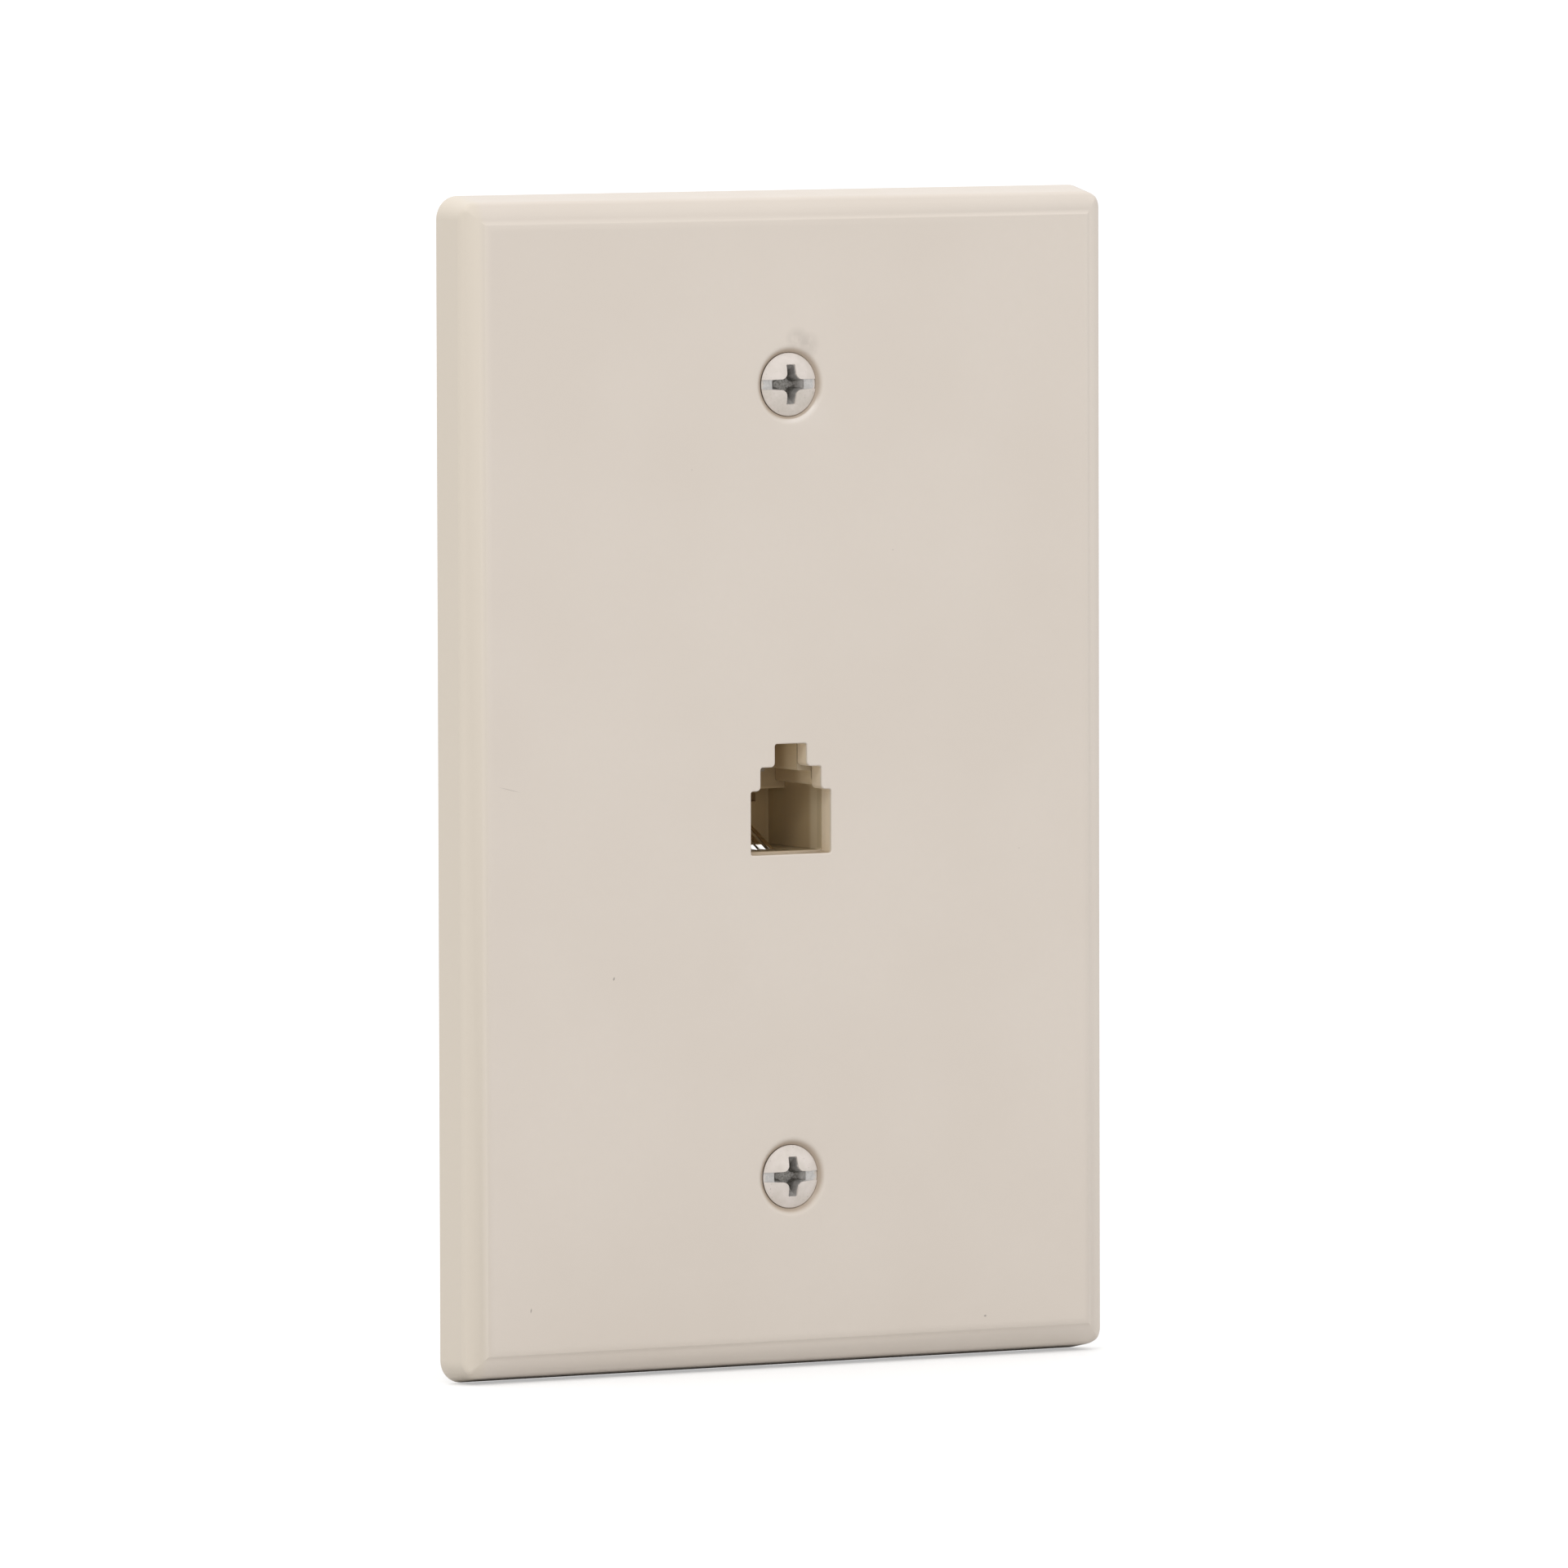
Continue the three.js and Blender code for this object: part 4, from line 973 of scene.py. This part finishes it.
def draw_lug(bm, side, x, z):
    """A crimped fork: a flat tongue open at its outer end, and a neck that runs into the barrel."""
    slot_radius, slot_steps, tip, neck = 2.0, 16, 3.2, 1.15
    angles = [math.pi * step / slot_steps for step in range(slot_steps + 1)]
    slot = [(-slot_radius * math.sin(a), -slot_radius * math.cos(a), 0.0) for a in angles]
    outline = [
        (tip, -3.2, 0.5), (tip, -slot_radius, 0.15), *slot, (tip, slot_radius, 0.15), (tip, 3.2, 0.5),
        (-2.6, 3.2, 1.2), (-3.6, neck, 0.5), (-6.8, neck, 0.1), (-6.8, -neck, 0.1), (-3.6, -neck, 0.5),
        (-2.6, -3.2, 1.2)]
    loop = [(x + side * a, z + b) for a, b in rounded_loop(outline, 4)]
    extruded(bm, loop, LUG_Y, LUG_Y + LUG_THICKNESS, "y", 0.08)


def draw_barrel(bm, side, z):
    """The crimped barrel, as a pipe along X with two pinched bands."""
    length_steps, steps = 24, 28
    start, length, outside, inside, deepest_pinch = 7.5, 3.0, 1.13, 0.8, 0.13
    angles = [2 * math.pi * index / steps for index in range(steps)]
    outer, inner = [], []
    for step in range(length_steps + 1):
        share = step / length_steps
        pinch = deepest_pinch * max(0.0, math.sin(share * math.pi * 4 - math.pi / 2)) ** 2
        along, depth, height = side * (start + length * share), outside - pinch, outside - pinch * 0.5
        outer.append([(along, BARREL_Y + depth * math.cos(a), z + height * math.sin(a)) for a in angles])
        inner.append([(along, BARREL_Y + inside * math.cos(a), z + inside * math.sin(a)) for a in angles])
    rings = [ring(bm, points) for points in outer + inner[::-1]]
    for index in range(len(rings)):
        bridge(bm, rings[index], rings[(index + 1) % len(rings)])


def draw_terminal_washer(bm, x, z):
    back = WASHER_Y + WASHER_THICKNESS
    turned_ring(bm, rounded_loop([
        (RETAINER_HOLE, WASHER_Y, 0.06), (WASHER_RADIUS, WASHER_Y, 0.12),
        (WASHER_RADIUS, back, 0.2), (RETAINER_HOLE, back, 0.1)], 3), x, z)


TERMINAL_HEAD_BACK_Y = TERMINAL_HEAD_Y + TERMINAL_HEAD_HEIGHT


def draw_terminal_head(bm):
    front, back, radius = TERMINAL_HEAD_Y, TERMINAL_HEAD_BACK_Y, TERMINAL_HEAD_RADIUS
    profile = rounded_path([(0.0, back, 0.0), (2.6, back, 0.5), (radius, back - 0.75, 0.4),
                            (radius, front, 0.12), (0.0, front, 0.0)], 5)
    turned(bm, profile, steps=72)


def draw_terminal_slot(bm):
    floor, back, past_edge = TERMINAL_HEAD_BACK_Y - SLOT_DEPTH, TERMINAL_HEAD_BACK_Y + 2, 5
    outline = [(-past_edge, floor), (past_edge, floor), (past_edge, back), (-past_edge, back)]
    extruded(bm, outline, -SLOT_HALF_WIDTH, SLOT_HALF_WIDTH, "z")


def draw_terminal_shank(bm):
    thread(bm, TERMINAL_HEAD_Y + 0.6, TERMINAL_HEAD_Y - 6.8)


def lead_curve(side, level, exit_x, z):
    """A lead's way from its hole in the carrier, up or down behind the block, to the barrel of its lug."""
    return smooth_curve([
        (exit_x, 11.8, LEAD_Z), (exit_x, 14.2, LEAD_Z), (exit_x + side * 0.6, 14.6, LEAD_Z + level * 3.6),
        (side * 3.4, BARREL_Y + 3, z - level * 1.4), (side * 5.5, BARREL_Y + 0.3, z),
        (side * 7.1, BARREL_Y, z), (side * 9, BARREL_Y, z)])


TERMINAL_TURNS = (25, -40, 75, 10)  # degrees that each slot is turned at rest

for number, (name, side, level, exit_x) in enumerate(TERMINALS, 1):
    x, z = terminal_places[number - 1]
    where = (x * MM, 0.0, z * MM)
    lug = make(f"fork_lug_{name}", [lambda bm: draw_lug(bm, side, x, z), lambda bm: draw_barrel(bm, side, z)])
    fit(lug, "plate", TINNED, "tinned_lug", f"spade_lug_{name}")
    washer = make(f"brass_washer_{number}", [lambda bm: draw_terminal_washer(bm, x, z)])
    fit(washer, f"terminal_washer_{number}", BRASS, "terminal_brass", f"terminal_washer_{number}")
    screw = carve(f"brass_screw_{number}", [draw_terminal_head], [draw_terminal_slot], 0.08, where)
    add_shank(screw, draw_terminal_shank, where)
    screw.rotation_euler.y = math.radians(TERMINAL_TURNS[number - 1])
    fit(screw, f"terminal_screw_{number}", BRASS, "terminal_brass", f"terminal_screw_{number}")
    lead = make(f"lead_{name}", [lambda bm: tube(bm, lead_curve(side, level, exit_x, z), LEAD_RADIUS, 24)])
    fit(lead, "plate", INSULATION[name], f"insulation_{name}", f"lead_wire_{name}")

# ------------------------------------------------------------------ stage, light and camera

WHITE = (1.0, 1.0, 1.0)
FLOOR_REACH = 30000.0
FLOOR_BOUNCE, FLOOR_DARK, FLOOR_LIGHT, FLOOR_GLOW = 0.66, 0.60, 0.61, 0.40
# the sky's brightness at the horizon, its rise overhead, its fall to both sides, its lean and its least
SKY_LEVEL, SKY_RISE, SKY_FALL, SKY_LEAN, SKY_LEAST = 0.868, 0.50, -0.28, -0.03, 0.1
KEY_PLACE, KEY_SIZE, KEY_ENERGY = Vector((-1.0, -1.3, 1.6)), 0.5, 7.4  # metres and watts
CAMERA_PLACE, CAMERA_ANGLES = (-940.90, -1592.67, 111.59), (-30.633, -3.470, 0.142)  # yaw, pitch, roll
SENSOR_WIDTH, FOCAL_LENGTH = 36.0, 404.16


def draw_floor(bm):
    level, reach = -PLATE_HEIGHT / 2, FLOOR_REACH
    bm.faces.new([bm.verts.new(at(a, b, level)) for a, b in
                  ((-reach, -reach), (reach, -reach), (reach, reach), (-reach, reach))])


def floor_look():
    """A floor that the camera sees as bright and even, and that gives less light back to the part."""
    material, tree, coords = new_material("floor")
    bounce, dark, light = ((level, level, level) for level in (FLOOR_BOUNCE, FLOOR_DARK, FLOOR_LIGHT))
    tone = mix(tree, noise(tree, coords, 400.0, 2.0), dark, light)
    seen = add(tree, "ShaderNodeLightPath").outputs["Is Camera Ray"]
    connect(tree, Base_Color=mix(tree, seen, bounce, tone), Roughness=0.9, Specular_IOR_Level=0.1,
            Emission_Color=WHITE, Emission_Strength=math_node(tree, "MULTIPLY", seen, FLOOR_GLOW))
    return material


def light_sky():
    """A soft white sky, brighter overhead and a little darker to the sides. The camera sees it as white."""
    world = bpy.data.worlds.new("studio")
    bpy.context.scene.world = world
    world.use_nodes = True
    tree = world.node_tree
    way = add(tree, "ShaderNodeTexCoord").outputs["Generated"]
    direction = add(tree, "ShaderNodeSeparateXYZ", {0: way}).outputs
    sky = math_node(tree, "MULTIPLY_ADD", direction["Z"], SKY_RISE, SKY_LEVEL)
    sides = math_node(tree, "MULTIPLY", direction["X"], direction["X"])
    sides = math_node(tree, "MULTIPLY_ADD", sides, SKY_FALL, 1.0)
    sides = math_node(tree, "MULTIPLY_ADD", direction["X"], SKY_LEAN, sides)
    sky = math_node(tree, "MULTIPLY", sky, sides)
    sky = math_node(tree, "MAXIMUM", sky, SKY_LEAST)
    seen = add(tree, "ShaderNodeLightPath").outputs["Is Camera Ray"]
    strength = add(tree, "ShaderNodeMix", {0: seen, 2: sky, 3: 1.0}, data_type="FLOAT").outputs[0]
    tree.links.new(strength, tree.nodes["Background"].inputs["Strength"])
    tree.nodes["Background"].inputs["Color"].default_value = (*WHITE, 1.0)


def light_key():
    key = bpy.data.objects.new("key_light", bpy.data.lights.new("key_light", "AREA"))
    key.data.shape = "DISK"
    key.data.size = KEY_SIZE
    key.data.energy = KEY_ENERGY
    key.location = KEY_PLACE
    key.rotation_euler = (-KEY_PLACE).to_track_quat("-Z", "Y").to_euler()
    bpy.context.scene.collection.objects.link(key)


def place_camera():
    camera = bpy.data.objects.new("camera", bpy.data.cameras.new("camera"))
    camera.data.sensor_width = SENSOR_WIDTH
    camera.data.lens = FOCAL_LENGTH
    camera.location = at(*CAMERA_PLACE)
    yaw, pitch, roll = (math.radians(angle) for angle in CAMERA_ANGLES)
    level = Matrix.Rotation(math.pi / 2, 3, "X")
    turn = Matrix.Rotation(yaw, 3, "Z") @ Matrix.Rotation(pitch, 3, "X") @ Matrix.Rotation(roll, 3, "Y")
    camera.rotation_euler = (turn @ level).to_euler()
    bpy.context.scene.collection.objects.link(camera)
    bpy.context.scene.camera = camera


floor = make("floor", [draw_floor])
floor.data.materials.append(floor_look())
light_sky()
light_key()
place_camera()
bpy.context.scene.view_settings.view_transform = "Standard"
bpy.context.scene.view_settings.look = "None"
